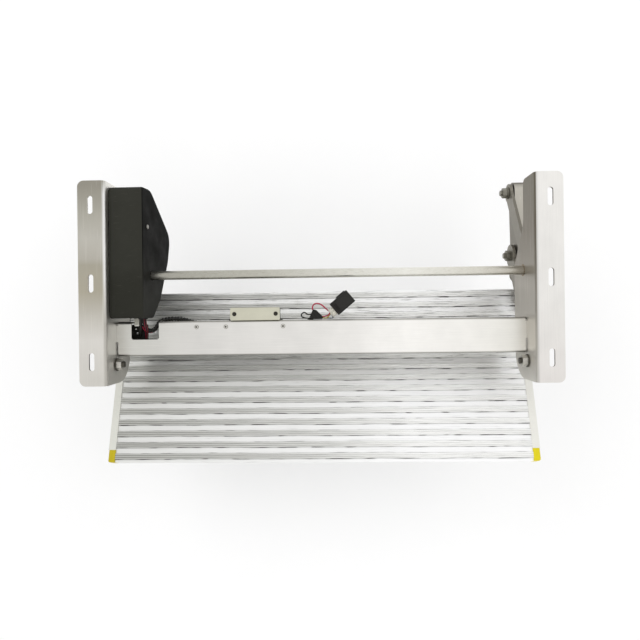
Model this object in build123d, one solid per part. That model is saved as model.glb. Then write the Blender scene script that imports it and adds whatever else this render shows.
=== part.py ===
"""Electric folding step for a caravan or camper doorway, stowed, in millimetres.

The step hangs under the vehicle floor by two slotted flanges. A motor in the left
cover turns the cross shaft, the drive arms on the shaft and the support arms beside
them swing the tread out and down, and the tread turns level on the way.

Frame: +X to the right, +Y towards the inside of the vehicle, +Z up. The origin is
on the mounting plane, midway between the flanges and level with their middle slots.
"""
from build123d import *
import os
from math import atan2, cos, degrees, hypot, radians, sin, tan

# Mounting brackets: one bent sheet each side
SIDE_INNER_X = 270.0
SHEET = 3.0
SIDE_OUTER_X = SIDE_INNER_X + SHEET
FLANGE_WIDTH = 35.0
FLANGE_OUTER_X = SIDE_INNER_X + FLANGE_WIDTH
BRACKET_LENGTH = 262.0
BEND_OUTER_R = 6.0
FLANGE_CORNER_R = 8.0
SIDE_DEPTH = 86.0
REAR_DEPTH = 46.0
REAR_STEP_Y = (22.0, 72.0)
FRONT_CORNER_R = 40.0
REAR_CORNER_R = 8.0
STEP_R = 30.0
SLOT_LENGTH = 23.0
SLOT_WIDTH = 7.0
SLOT_END = 31.0
SLOT_PITCH = BRACKET_LENGTH / 2 - SLOT_END
SLOT_X = FLANGE_OUTER_X - 16.0

# Cross channel between the brackets
CHANNEL_REAR_Y = -49.5
CHANNEL_WIDTH = 46.0
CHANNEL_FRONT_Y = CHANNEL_REAR_Y - CHANNEL_WIDTH
CHANNEL_TOP_Z = -37.0
CHANNEL_WALL = 2.5
CHANNEL_HEIGHT = 26.0
CHANNEL_BEND_R = 4.0
CHANNEL_END_GAP = 1.6
TAB_LENGTH = 22.0
TAB_Y = CHANNEL_REAR_Y - 16.0
TAB_PLAY = 0.2
NOTCH_X = (19.5 - SIDE_INNER_X, 56.5 - SIDE_INNER_X)
NOTCH_DEPTH = 24.0
NOTCH_R = 3.0
WEB_SCREW_X = (-163.0, -124.0, -48.0)
WEB_SCREW_INSET = 8.0
SMALL_SCREW_R = 1.9

# Pivots, as (Y, Z) in the stowed pose
SHAFT_AT = (12.5, -50.0)
SUPPORT_AT = (CHANNEL_FRONT_Y - 10.5, -34.5)
DRIVE_PIN_AT = (131.0, -130.0)
LINK_PIN_AT = (39.0, -124.0)

# Pivot hardware
BOLT_R = 4.0
BOLT_PLAY = 0.1
BOLT_AF = 13.0
BOLT_HEAD = 5.0
NUT_HEIGHT = 6.5
THREAD_END = 3.0
SLEEVE_R = BOLT_R + 2.0
WASHER_R = 8.5
WASHER = 1.6
FACE_GAP = 0.3
BUTTON_HEAD = 3.6
BUTTON_R = 7.0
LINK_SLOT_TRAVEL = (5.2, 5.2)
LINK_SLOT_R = BOLT_R + 1.7
LINK_WASHER_R = 14.5

# Cross shaft, its bushes and the arms outboard of the brackets
SHAFT_R = 6.0
RUNNING_GAP = 0.05
BUSH_BARREL_R = SHAFT_R + 2.0
BUSH_FLANGE_R = SHAFT_R + 5.0
BUSH_FLANGE = 1.7
ARM_INNER_X = SIDE_OUTER_X + 2.0
ARM_SHEET = 4.0
ARM_OUTER_X = ARM_INNER_X + ARM_SHEET
DRIVE_ARM_WIDTH = 22.0
SUPPORT_ARM_WIDTH = 24.0
EYE_R = 13.0
LINK_EYE_R = 16.0
SUPPORT_BUSH_R = SLEEVE_R + 3.0
HUB_R = SHAFT_R + 6.0
HUB_OUTER_X = ARM_OUTER_X + 8.0
ARM_PIN_R = 2.0
SHAFT_CHAMFER = 0.8

# Tread, in its own level frame: rear top edge at the origin, front towards -Y
TREAD_TILT = 18.238
TREAD_REAR = (-7.0, -154.5)
TREAD_DEPTH = 252.0
HANGER_INNER_X = ARM_OUTER_X + 1.5
DECK_HALF = HANGER_INNER_X + 9.5
DECK_HEIGHT = 22.0
DECK_SKIN = 2.0
DECK_CELLS = 7
CELL_R = 1.0
NOSE_CELL_R = 3.0
RIB_COUNT = 16
RIB_WIDTH = 8.0
RIB_HEIGHT = 1.6
RIB_TEETH = 3
TOOTH_DEPTH = 0.7
NOSE_R = 7.0
PORT_OUTER_R = 4.5
PORT_INNER_R = 2.1
TREAD_SHEET = 3.0
HANGER_OUTER_X = HANGER_INNER_X + TREAD_SHEET
TREAD_SIDE_OUTER_X = DECK_HALF + TREAD_SHEET
TREAD_LIP_X = DECK_HALF + 10.0
STRIP_RADII = (4.0, 8.0)
CAP_LENGTH = 17.0
CAP_CORNER_R = 3.0
CAP_TOP_R = 1.5
HANGER_WIDTH = 30.0
NECK_WIDTH = 26.0
HANGER_FOOT = (-40.0, -9.0)
JOGGLE_Y = 3.0
JOGGLE_R = 4.0

# Where bolt heads and nuts bear
DRIVE_PIN_SEAT = ARM_INNER_X - FACE_GAP
LINK_HEAD_SEAT = HANGER_OUTER_X + FACE_GAP + WASHER

# Drive unit in the left cover
COVER_WALL = 2.5
COVER_BACK = 2.0
COVER_OUTER_X = COVER_BACK + 0.5 - SIDE_INNER_X
COVER_X = (COVER_OUTER_X, COVER_OUTER_X + 41.5)
COVER_OUTLINE = ((-44.8, -12.0), (125.4, -12.0), (128.5, -50.0), (76.0, -141.0),
                 (36.0, -128.0), (-20.0, -89.0), (-44.8, -58.0))
COVER_RADII = (5.0, 10.0, 30.0, 20.0, 40.0, 40.0, 10.0)
COVER_EDGE_R = 3.0
COVER_POST_R = 4.0
COVER_SCREWS_AT = ((112.0, -30.0), (-34.0, -24.0), (64.0, -126.0))
FACE_SCREW_AT = (75.8, -32.5)
FACE_SCREW_LENGTH = 10.0
GEAR_X = 24.0 - SIDE_INNER_X
WHEEL_TEETH = 24
WHEEL_MODULE = 2.0
WHEEL_FACE = 6.0
WHEEL_ROOM = 1.5
WORM_PITCH_R = 7.0
WORM_ROOM = 1.0
CASE_X = (8.0 - SIDE_INNER_X, 40.0 - SIDE_INNER_X)
CASE_WALL = 4.0
CASE_BOSS_R = 15.0
CASE_SCREW_CIRCLE = 25.0
CASE_SCREW_BOSS_R = 5.0
CASE_SCREW_R = 2.5
CASE_REACH = (-14.0, 29.0)
MOTOR_R = 17.0
MOTOR_LENGTH = 50.0
MOTOR_EDGE_R = 3.0
MOTOR_END_BOSS = (5.0, 3.0)

# Control box behind the channel
BOX_X = (-118.0, -52.0)
BOX_WIDTH = 17.0
BOX_REAR_Y = CHANNEL_REAR_Y + BOX_WIDTH
BOX_Z = (-66.0, CHANNEL_TOP_Z - 2.5)
BOX_WALL = 1.6
BOX_CORNER_R = 2.0
LID = 2.5
LID_OVERHANG = 2.0
LID_SCREW_INSET = 5.5
LID_POST_R = 3.2
LID_SCREW_R = SMALL_SCREW_R - 0.3
BOARD_HEIGHT = 20.0
RELAY_SIZE = (14.0, 8.0, 12.0)

# Wiring: cable radii and routes, point by point
LOOM_R = 3.0
LEAD_R = 2.5
WIRE_R = 0.9
GLAND_R = 4.5
GLAND_X = GEAR_X + 8.0
CABLE_PLAY = 0.15
LOOM_ROUTE = ((GLAND_X, -41.0, -48.0), (GLAND_X, -55.5, -48.0), (GLAND_X + 7, -60.5, -50.5),
              (GLAND_X + 15, -55.5, -53.0), (GLAND_X + 22.5, -44.5, -55.0), (GLAND_X + 38, -43.5, -60.0),
              (-186.0, -46.0, -68.5), (-168.0, -53.0, -73.0), (-148.0, -56.0, -75.0),
              (-128.0, -53.0, -78.0), (-105.5, -42.0, -79.0), (-105.5, -42.0, -64.5))
LEAD_ROUTE = ((-64.0, -41.0, -64.5), (-64.0, -41.0, -77.0), (-50.0, -55.0, -79.0), (-32.0, -57.0, -77.0),
              (-16.0, -52.0, -74.0), (-7.0, -44.0, -66.0), (-5.0, -43.0, -56.0), (-5.0, -43.0, -47.5))
RED_ROUTE = ((-9.0, -36.5, -44.0), (-9.5, -31.0, -43.0), (-4.0, -27.5, -42.5), (3.0, -29.5, -42.5),
             (9.0, -35.5, -43.0), (12.95, -38.75, -43.5))
BLACK_ROUTE = ((-10.5, -42.2, -44.0), (-15.5, -43.4, -43.0), (-20.0, -38.9, -42.5), (-25.0, -43.0, -43.5),
               (-21.5, -47.8, -45.5), (-11.5, -47.6, -46.5))
YELLOW_ROUTE = ((4.0, -47.2, -44.5), (8.5, -48.0, -44.5), (12.0, -46.0, -44.5), (14.75, -41.05, -44.5))
GREY_ROUTE = ((4.0, -47.4, -47.0), (11.5, -47.8, -49.0), (17.0, -48.0, -48.5), (18.6, -46.6, -45.5),
              (16.1, -42.6, -44.5))
TAPE_POINTS = ((-14.6, -49.0), (6.3, -49.0), (3.0, -44.0), (-4.0, -37.0), (-8.5, -35.5), (-11.5, -43.0))
TAPE_Z = (-48.0, -41.0)
CONNECTOR_AT = (30.7, -27.5, -44.0)
CONNECTOR_TURN = 40.0
CONNECTOR_SIZE = (29.0, 19.0, 12.0)
LATCH_RISE = 3.0
SOCKET_DEPTH = 6.0
SOCKET_WALL = 3.0
NECK_SIZE = (7.0, 12.0, 8.0)


def yz_plate(outline, x_start, x_end):
    """Extrude an outline drawn in (Y, Z) between two X stations."""
    low, high = min(x_start, x_end), max(x_start, x_end)
    return extrude(Plane.YZ.offset(low) * outline, high - low)


def rod(at, radius, x_start, x_end):
    """Round bar along X through a (Y, Z) point."""
    return yz_plate(Pos(*at) * Circle(radius), x_start, x_end)


def hex_bar(at, across_flats, x_start, x_end):
    """Hexagonal bar along X through a (Y, Z) point."""
    return yz_plate(Pos(*at) * RegularPolygon(across_flats / 2, 6, major_radius=False), x_start, x_end)


def ring(at, outer, inner, x_start, x_end):
    """Washer or sleeve along X round a (Y, Z) point."""
    return rod(at, outer, x_start, x_end) - rod(at, inner, x_start - 1, x_end + 1)


def mirrored(shape):
    """The same piece on the other side of the step."""
    return mirror(shape, about=Plane.YZ)


def bar_between(a, b, width):
    """Round-ended bar outline from point a to point b."""
    middle = ((a[0] + b[0]) / 2, (a[1] + b[1]) / 2)
    angle = degrees(atan2(b[1] - a[1], b[0] - a[0]))
    return Pos(*middle) * Rot(0, 0, angle) * SlotCenterToCenter(hypot(b[0] - a[0], b[1] - a[1]), width)


def rounded(points, radii):
    """Polygon with a radius of its own at each corner, 0 for a sharp one."""
    face = make_face(Polyline(*points, close=True))
    for point, radius in zip(points, radii):
        if radius:
            corner = face.vertices().sort_by_distance((point[0], point[1], 0))[0]
            face = fillet(corner, radius)
    return face


def to_tread(at):
    """A stowed (Y, Z) point in the tread's own level frame."""
    along, up = at[0] - TREAD_REAR[0], at[1] - TREAD_REAR[1]
    turn = radians(TREAD_TILT)
    return (along * cos(turn) - up * sin(turn), along * sin(turn) + up * cos(turn))


def on_tread(shape):
    """Tilt a level tread piece into the stowed pose."""
    return Pos(0, *TREAD_REAR) * Rot(-TREAD_TILT, 0, 0) * shape


def side_outline():
    """Side plate: deep at the front, stepped up at the rear, with a rounded front corner."""
    half = BRACKET_LENGTH / 2
    points = ((-half, 0), (half, 0), (half, -REAR_DEPTH), (REAR_STEP_Y[1], -REAR_DEPTH),
              (REAR_STEP_Y[0], -SIDE_DEPTH), (-half, -SIDE_DEPTH))
    return rounded(points, (0, 0, REAR_CORNER_R, STEP_R, STEP_R, FRONT_CORNER_R))


def case_screw_points():
    """Three gear-case screws round the shaft, clear of the channel and the bend."""
    y, z = SHAFT_AT
    return [(y + CASE_SCREW_CIRCLE * cos(radians(a)), z + CASE_SCREW_CIRCLE * sin(radians(a)))
            for a in (60, 180, 300)]


def countersink(at):
    """Flat-head screw along X in the left side plate, head flush with its outer face."""
    head = Plane.YZ.offset(-SIDE_OUTER_X) * Pos(*at) * Circle(2 * CASE_SCREW_R)
    seat = Plane.YZ.offset(-SIDE_OUTER_X + CASE_SCREW_R) * Pos(*at) * Circle(CASE_SCREW_R)
    return loft([head, seat])


def bracket():
    """Right bracket: side plate and slotted flange from one bent sheet."""
    half = BRACKET_LENGTH / 2
    section = rounded(
        ((SIDE_INNER_X, -SIDE_DEPTH), (SIDE_INNER_X, 0), (FLANGE_OUTER_X, 0), (FLANGE_OUTER_X, -SHEET),
         (SIDE_OUTER_X, -SHEET), (SIDE_OUTER_X, -SIDE_DEPTH)),
        (0, BEND_OUTER_R, 0, 0, BEND_OUTER_R - SHEET, 0))
    body = extrude(Plane.XZ * section, half, both=True)
    body = fillet(body.edges().filter_by(Axis.Z).group_by(Axis.X)[-1], FLANGE_CORNER_R)
    body &= yz_plate(side_outline(), SIDE_INNER_X - 1, FLANGE_OUTER_X + 1)
    for row in (-1, 0, 1):
        slot = Pos(SLOT_X, row * SLOT_PITCH) * Rot(0, 0, 90) * SlotOverall(SLOT_LENGTH, SLOT_WIDTH)
        body -= extrude(slot, SHEET + 1, both=True)
    body -= rod(SUPPORT_AT, BOLT_R + BOLT_PLAY, SIDE_INNER_X - 1, ARM_INNER_X)
    body -= rod(SHAFT_AT, BUSH_BARREL_R, SIDE_INNER_X - 1, ARM_INNER_X)
    tab = Pos(SIDE_INNER_X + SHEET / 2, TAB_Y, CHANNEL_TOP_Z - CHANNEL_WALL / 2)
    return body - tab * Box(SHEET * 2, TAB_LENGTH + 2 * TAB_PLAY, CHANNEL_WALL + 2 * TAB_PLAY)


def left_bracket():
    """Left bracket: the mirror image, with countersunk holes for the gear case."""
    body = mirrored(bracket())
    for at in case_screw_points():
        body -= countersink(at) + rod(at, CASE_SCREW_R + 0.1, -SIDE_OUTER_X, -SIDE_INNER_X)
    return body


def cross_channel():
    """Inverted U channel with end tabs, a cable notch and screw holes."""
    front = CHANNEL_FRONT_Y
    low = CHANNEL_TOP_Z - CHANNEL_HEIGHT
    under = CHANNEL_TOP_Z - CHANNEL_WALL
    inner_r = CHANNEL_BEND_R - CHANNEL_WALL
    section = rounded(
        ((front, low), (front, CHANNEL_TOP_Z), (CHANNEL_REAR_Y, CHANNEL_TOP_Z), (CHANNEL_REAR_Y, low),
         (CHANNEL_REAR_Y - CHANNEL_WALL, low), (CHANNEL_REAR_Y - CHANNEL_WALL, under),
         (front + CHANNEL_WALL, under), (front + CHANNEL_WALL, low)),
        (0, CHANNEL_BEND_R, CHANNEL_BEND_R, 0, 0, inner_r, inner_r, 0))
    half = SIDE_INNER_X - CHANNEL_END_GAP
    body = yz_plate(section, -half, half)
    tab_z = CHANNEL_TOP_Z - CHANNEL_WALL / 2
    body += Pos(0, TAB_Y, tab_z) * Box(2 * SIDE_OUTER_X, TAB_LENGTH, CHANNEL_WALL)
    notch = Pos(sum(NOTCH_X) / 2, CHANNEL_REAR_Y) * Rectangle(NOTCH_X[1] - NOTCH_X[0], 2 * NOTCH_DEPTH)
    notch = fillet(notch.vertices().group_by(Axis.Y)[0], NOTCH_R)
    body -= extrude(Plane.XY.offset(low - 1) * notch, CHANNEL_HEIGHT + 2)
    for x in WEB_SCREW_X:
        hole = Cylinder(SMALL_SCREW_R, 3 * CHANNEL_WALL)
        body -= Pos(x, CHANNEL_REAR_Y - WEB_SCREW_INSET, tab_z) * hole
    return body


def pan_screw(length, head_r=3.6, head=1.6, shank_r=SMALL_SCREW_R):
    """Pan-head screw along Z with its seat at Z = 0, shank downwards."""
    blank = Pos(0, 0, head / 2) * Cylinder(head_r, head)
    dome = fillet(blank.edges().group_by(Axis.Z)[-1], head * 0.7)
    return dome + Pos(0, 0, -length / 2) * Cylinder(shank_r, length)


def channel_screws():
    """Small screws in the channel's web."""
    y = CHANNEL_REAR_Y - WEB_SCREW_INSET
    return Compound([Pos(x, y, CHANNEL_TOP_Z) * pan_screw(CHANNEL_WALL + 3) for x in WEB_SCREW_X])


def shaft_bush():
    """Flanged nylon bush in the right side plate, its flange between the plate and the drive arm."""
    body = rod(SHAFT_AT, BUSH_BARREL_R, SIDE_INNER_X, SIDE_OUTER_X)
    body += rod(SHAFT_AT, BUSH_FLANGE_R, SIDE_OUTER_X, SIDE_OUTER_X + BUSH_FLANGE)
    return body - rod(SHAFT_AT, SHAFT_R + RUNNING_GAP, SIDE_INNER_X - 1, ARM_INNER_X)


def drive_shaft():
    """Cross shaft with chamfered ends and pin holes through its arm hubs."""
    body = rod(SHAFT_AT, SHAFT_R, -HUB_OUTER_X, HUB_OUTER_X)
    body = chamfer(body.edges().filter_by(GeomType.CIRCLE), SHAFT_CHAMFER)
    for side in (-1, 1):
        body -= arm_pin(side)
    return body


def arm_pin(side):
    """Spring pin through a drive arm's hub and the shaft."""
    x = side * (ARM_OUTER_X + HUB_OUTER_X) / 2
    return Pos(x, *SHAFT_AT) * Cylinder(ARM_PIN_R, 2 * HUB_R)


def arm_outline(start, start_r, end, end_r, width):
    """Straight arm with an eye at each end."""
    return bar_between(start, end, width) + Pos(*start) * Circle(start_r) + Pos(*end) * Circle(end_r)


def drive_arm():
    """Right drive arm: straight plate with a hub that is pinned to the shaft."""
    outline = arm_outline(SHAFT_AT, EYE_R, DRIVE_PIN_AT, EYE_R, DRIVE_ARM_WIDTH)
    body = yz_plate(outline, ARM_INNER_X, ARM_OUTER_X) + rod(SHAFT_AT, HUB_R, ARM_INNER_X, HUB_OUTER_X)
    body -= rod(SHAFT_AT, SHAFT_R, ARM_INNER_X - 1, HUB_OUTER_X + 1)
    body -= rod(DRIVE_PIN_AT, SLEEVE_R + RUNNING_GAP, ARM_INNER_X - 1, ARM_OUTER_X + 1)
    return body - arm_pin(1)


def support_arm():
    """Right support arm: straight plate with a bushed eye on the bracket."""
    outline = arm_outline(SUPPORT_AT, EYE_R, LINK_PIN_AT, LINK_EYE_R, SUPPORT_ARM_WIDTH)
    body = yz_plate(outline, ARM_INNER_X, ARM_OUTER_X)
    body -= rod(SUPPORT_AT, SUPPORT_BUSH_R, ARM_INNER_X - 1, ARM_OUTER_X + 1)
    return body - rod(LINK_PIN_AT, BOLT_R, ARM_INNER_X - 1, ARM_OUTER_X + 1)


def support_bush():
    """Plain bush in the support arm's eye, running on the sleeve of the pivot bolt."""
    return ring(SUPPORT_AT, SUPPORT_BUSH_R, SLEEVE_R + RUNNING_GAP, ARM_INNER_X, ARM_OUTER_X)


def support_pivot_sleeve():
    """Shouldered sleeve on the pivot bolt that the support arm turns on."""
    return ring(SUPPORT_AT, SLEEVE_R, BOLT_R, SIDE_OUTER_X, ARM_OUTER_X + FACE_GAP)


def support_pivot_bolt():
    """Bolt through the bracket: head outboard, thread showing inboard of its nut."""
    seat = ARM_OUTER_X + FACE_GAP + WASHER
    body = hex_bar(SUPPORT_AT, BOLT_AF, seat, seat + BOLT_HEAD)
    end = SIDE_INNER_X - WASHER - NUT_HEIGHT - THREAD_END
    return body + rod(SUPPORT_AT, BOLT_R, end, seat)


def nut(at, seat_x, height=NUT_HEIGHT):
    """Hexagonal nut on the inboard side of a seat at seat_x."""
    body = hex_bar(at, BOLT_AF, seat_x - height, seat_x)
    return body - rod(at, BOLT_R, seat_x - height - 1, seat_x + 1)


def washer(at, outer, x_start, x_end):
    """Flat washer on an M8 shank."""
    return ring(at, outer, BOLT_R, x_start, x_end)


def drive_pin_bolt():
    """Bolt that pins the tread side to the drive arm, with its nut inboard."""
    body = hex_bar(DRIVE_PIN_AT, BOLT_AF, HANGER_OUTER_X, HANGER_OUTER_X + BOLT_HEAD)
    end = DRIVE_PIN_SEAT - WASHER - NUT_HEIGHT - THREAD_END
    return body + rod(DRIVE_PIN_AT, BOLT_R, end, HANGER_OUTER_X)


def link_bolt(side):
    """Bolt of the support arm's lower end. On the left its low head is inboard, to pass the cover."""
    if side > 0:
        body = hex_bar(LINK_PIN_AT, BOLT_AF, LINK_HEAD_SEAT, LINK_HEAD_SEAT + BOLT_HEAD)
        return body + rod(LINK_PIN_AT, BOLT_R, ARM_INNER_X - NUT_HEIGHT - THREAD_END, LINK_HEAD_SEAT)
    head = rod(LINK_PIN_AT, BUTTON_R, -ARM_INNER_X, -ARM_INNER_X + BUTTON_HEAD)
    head = fillet(head.edges().group_by(Axis.X)[-1], BUTTON_HEAD * 0.6)
    return head + rod(LINK_PIN_AT, BOLT_R, -LINK_HEAD_SEAT - BOLT_HEAD - 1, -ARM_INNER_X)


def link_nut(side):
    """Nut on the link bolt, inboard on the right and outboard on the left."""
    if side > 0:
        return nut(LINK_PIN_AT, ARM_INNER_X)
    return mirrored(nut(LINK_PIN_AT, LINK_HEAD_SEAT + BOLT_HEAD, BOLT_HEAD))


def link_sleeve():
    """Spacer sleeve between the support arm and the tread side."""
    return ring(LINK_PIN_AT, SLEEVE_R, BOLT_R, ARM_OUTER_X, HANGER_INNER_X - FACE_GAP)


def drive_pin_sleeve():
    """Sleeve that the drive arm's eye turns on, clamped against the tread side."""
    return ring(DRIVE_PIN_AT, SLEEVE_R, BOLT_R, DRIVE_PIN_SEAT, HANGER_INNER_X)


def rib(middle):
    """One gripping rib of the deck: a raised bar with small teeth along its top."""
    pitch = RIB_WIDTH / RIB_TEETH
    start = middle - RIB_WIDTH / 2
    points = [(start, -DECK_SKIN / 2), (start, RIB_HEIGHT)]
    for tooth in range(RIB_TEETH - 1):
        valley = start + (tooth + 1) * pitch
        points += [(valley - pitch / 4, RIB_HEIGHT), (valley, RIB_HEIGHT - TOOTH_DEPTH),
                   (valley + pitch / 4, RIB_HEIGHT)]
    points += [(start + RIB_WIDTH, RIB_HEIGHT), (start + RIB_WIDTH, -DECK_SKIN / 2)]
    return make_face(Polyline(*points, close=True))


def deck_port_ys():
    """Depths of the webs that carry screw ports for the end screws."""
    cell = (TREAD_DEPTH - DECK_SKIN) / DECK_CELLS
    return [-DECK_SKIN / 2 - cell * n for n in (1, 3, 5)]


def tread_deck():
    """Hollow extruded deck: ribbed top, webs inside, rounded nose, screw ports."""
    skin = rounded(((-TREAD_DEPTH, 0), (0, 0), (0, -DECK_HEIGHT), (-TREAD_DEPTH, -DECK_HEIGHT)),
                   (DECK_SKIN, DECK_SKIN, DECK_SKIN, NOSE_R))
    cell = (TREAD_DEPTH - DECK_SKIN) / DECK_CELLS
    for n in range(DECK_CELLS):
        middle = -DECK_SKIN / 2 - cell * (n + 0.5)
        hole = Pos(middle, -DECK_HEIGHT / 2) * Rectangle(cell - DECK_SKIN, DECK_HEIGHT - 2 * DECK_SKIN)
        skin -= fillet(hole.vertices(), CELL_R if n < DECK_CELLS - 1 else NOSE_CELL_R)
    pitch = TREAD_DEPTH / RIB_COUNT
    for n in range(RIB_COUNT):
        skin += rib(-pitch * (n + 0.5))
    for y in deck_port_ys():
        skin += Pos(y, -DECK_HEIGHT / 2) * Circle(PORT_OUTER_R)
        skin -= Pos(y, -DECK_HEIGHT / 2) * Circle(PORT_INNER_R)
    return on_tread(yz_plate(skin, -DECK_HALF, DECK_HALF))


def link_slot_end():
    """Far end of the lost-motion slot for the link bolt, in the tread's own frame."""
    return to_tread((LINK_PIN_AT[0] + LINK_SLOT_TRAVEL[0], LINK_PIN_AT[1] + LINK_SLOT_TRAVEL[1]))


def link_pad_radius():
    """Half width of the pad that keeps the lip clear of the link washer all along the slot."""
    return LINK_WASHER_R + LINK_SLOT_R - BOLT_R + TREAD_SHEET + FACE_GAP


def tread_side_outline():
    """Tread side: a strip along the deck's end that rises behind it to the two pivots."""
    drive_pin, link_pin = to_tread(DRIVE_PIN_AT), to_tread(LINK_PIN_AT)
    front = -TREAD_DEPTH + CAP_LENGTH
    strip = rounded(((front, RIB_HEIGHT), (0, RIB_HEIGHT), (0, -DECK_HEIGHT), (front, -DECK_HEIGHT)),
                    (0, *STRIP_RADII, 0))
    neck = bar_between(HANGER_FOOT, link_pin, NECK_WIDTH)
    head = bar_between(link_pin, drive_pin, HANGER_WIDTH)
    return strip + neck + head + bar_between(link_pin, link_slot_end(), 2 * link_pad_radius())


def joggle_points(shift=0.0):
    """The inboard face seen from above, stepping inboard behind the deck, moved outboard by a shift."""
    step = DECK_HALF - HANGER_INNER_X
    return [(DECK_HALF + shift, -2 * TREAD_DEPTH), (DECK_HALF + shift, JOGGLE_Y),
            (HANGER_INNER_X + shift, JOGGLE_Y + step), (HANGER_INNER_X + shift, TREAD_DEPTH)]


def joggled_wall():
    """Sheet that follows the joggle, as tall as the tread side needs."""
    outer_bend = JOGGLE_R + TREAD_SHEET
    points = joggle_points() + joggle_points(TREAD_SHEET)[::-1]
    face = rounded(points, (0, JOGGLE_R, outer_bend, 0, 0, JOGGLE_R, outer_bend, 0))
    return extrude(face, TREAD_DEPTH, both=True)


def joggled_room():
    """Room from the side's inboard face out to the edge of its lip."""
    points = joggle_points() + [(TREAD_LIP_X, TREAD_DEPTH), (TREAD_LIP_X, -2 * TREAD_DEPTH)]
    return extrude(rounded(points, (0, JOGGLE_R, JOGGLE_R + TREAD_SHEET, 0, 0, 0)), TREAD_DEPTH, both=True)


def tread_side():
    """Right tread side: a shallow dish, lip outwards, that steps inboard to the arms behind the deck."""
    drive_pin, link_pin = to_tread(DRIVE_PIN_AT), to_tread(LINK_PIN_AT)
    outline = tread_side_outline()
    lip = outline - offset(outline, -TREAD_SHEET)
    body = yz_plate(outline, HANGER_INNER_X, TREAD_LIP_X) & joggled_wall()
    body += yz_plate(lip, HANGER_INNER_X, TREAD_LIP_X) & joggled_room()
    body -= rod(drive_pin, BOLT_R + BOLT_PLAY, HANGER_INNER_X - 1, HANGER_OUTER_X + 1)
    slot = bar_between(link_pin, link_slot_end(), 2 * LINK_SLOT_R)
    body -= yz_plate(slot, HANGER_INNER_X - 1, HANGER_OUTER_X + 1)
    for y in deck_port_ys():
        body -= rod((y, -DECK_HEIGHT / 2), PORT_INNER_R + 0.2, DECK_HALF - 1, TREAD_SIDE_OUTER_X + 1)
    return on_tread(body)


def corner_cap():
    """Right front corner cap: solid plug in front of the tread side, rounded outside corner."""
    front = -TREAD_DEPTH
    outline = rounded(((front, RIB_HEIGHT), (front + CAP_LENGTH, RIB_HEIGHT),
                       (front + CAP_LENGTH, -DECK_HEIGHT), (front, -DECK_HEIGHT)),
                      (CAP_TOP_R, 0, 0, NOSE_R))
    body = yz_plate(outline, DECK_HALF, TREAD_LIP_X)
    outer = body.edges().filter_by(Axis.Z).group_by(Axis.X)[-1].sort_by(Axis.Y)[0]
    return on_tread(fillet(outer, CAP_CORNER_R))


def tread_screws():
    """Pan-head screws that hold both tread sides to the deck's screw ports."""
    screws = []
    for side in (-1, 1):
        for y in deck_port_ys():
            screw = pan_screw(TREAD_SHEET + 12, 4.0, 2.2, PORT_INNER_R)
            turned = Rot(0, side * 90, 0) * screw
            screws.append(on_tread(Pos(side * TREAD_SIDE_OUTER_X, y, -DECK_HEIGHT / 2) * turned))
    return Compound(screws)


def cover_outline(inset=0.0):
    """Side view of the drive cover, moved in by an inset."""
    face = rounded(COVER_OUTLINE, COVER_RADII)
    return offset(face, -inset) if inset else face


def motor_cover():
    """Moulded cover: deep dish open towards the bracket, with screw posts and a shaft hole."""
    body = yz_plate(cover_outline(), *COVER_X)
    body = fillet(body.faces().sort_by(Axis.X)[-1].edges(), COVER_EDGE_R)
    body -= yz_plate(cover_outline(COVER_WALL), COVER_X[0] - 1, COVER_X[1] - COVER_WALL)
    for at in COVER_SCREWS_AT:
        body += rod(at, COVER_POST_R, COVER_X[0], COVER_X[1] - COVER_WALL)
        body -= rod(at, SMALL_SCREW_R, COVER_X[0] - 1, COVER_X[1] - 2 * COVER_WALL)
    body += rod(FACE_SCREW_AT, COVER_POST_R, COVER_X[1] - FACE_SCREW_LENGTH - COVER_WALL, COVER_X[1] - 1)
    body -= rod(FACE_SCREW_AT, SMALL_SCREW_R, COVER_X[1] - FACE_SCREW_LENGTH, COVER_X[1] + 1)
    body -= rod(SHAFT_AT, SHAFT_R + 1.0, COVER_X[0], COVER_X[1] + 1)
    gland = Pos(LOOM_ROUTE[0][0], COVER_OUTLINE[0][0], LOOM_ROUTE[0][2])
    return body - gland * Rot(90, 0, 0) * Cylinder(GLAND_R, 3 * COVER_WALL)


def cover_back():
    """Flat back plate that closes the cover against the bracket."""
    body = yz_plate(cover_outline(), COVER_X[0] - COVER_BACK, COVER_X[0])
    body -= rod(SHAFT_AT, CASE_BOSS_R + 0.5, COVER_X[0] - 5, COVER_X[0] + 5)
    for at in case_screw_points():
        body -= rod(at, CASE_SCREW_BOSS_R + 0.5, COVER_X[0] - 5, COVER_X[0] + 5)
    for at in COVER_SCREWS_AT:
        body -= rod(at, SMALL_SCREW_R + 0.2, COVER_X[0] - 5, COVER_X[0] + 5)
    return body


def cover_screws():
    """Three screws from the back plate into the cover's posts."""
    screw = pan_screw(14, 3.2, 0.4)
    seat = COVER_X[0] - COVER_BACK
    return Compound([Pos(seat, *at) * Rot(0, -90, 0) * screw for at in COVER_SCREWS_AT])


def cover_face_screw():
    """Small screw in the cover's inboard face."""
    return Pos(COVER_X[1], *FACE_SCREW_AT) * Rot(0, 90, 0) * pan_screw(FACE_SCREW_LENGTH - 1, 3.0, 1.4)


def worm_centre_z():
    """Height of the worm's axis, below the wheel by the gear centre distance."""
    return SHAFT_AT[1] - WHEEL_MODULE * WHEEL_TEETH / 2 - WORM_PITCH_R


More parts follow.
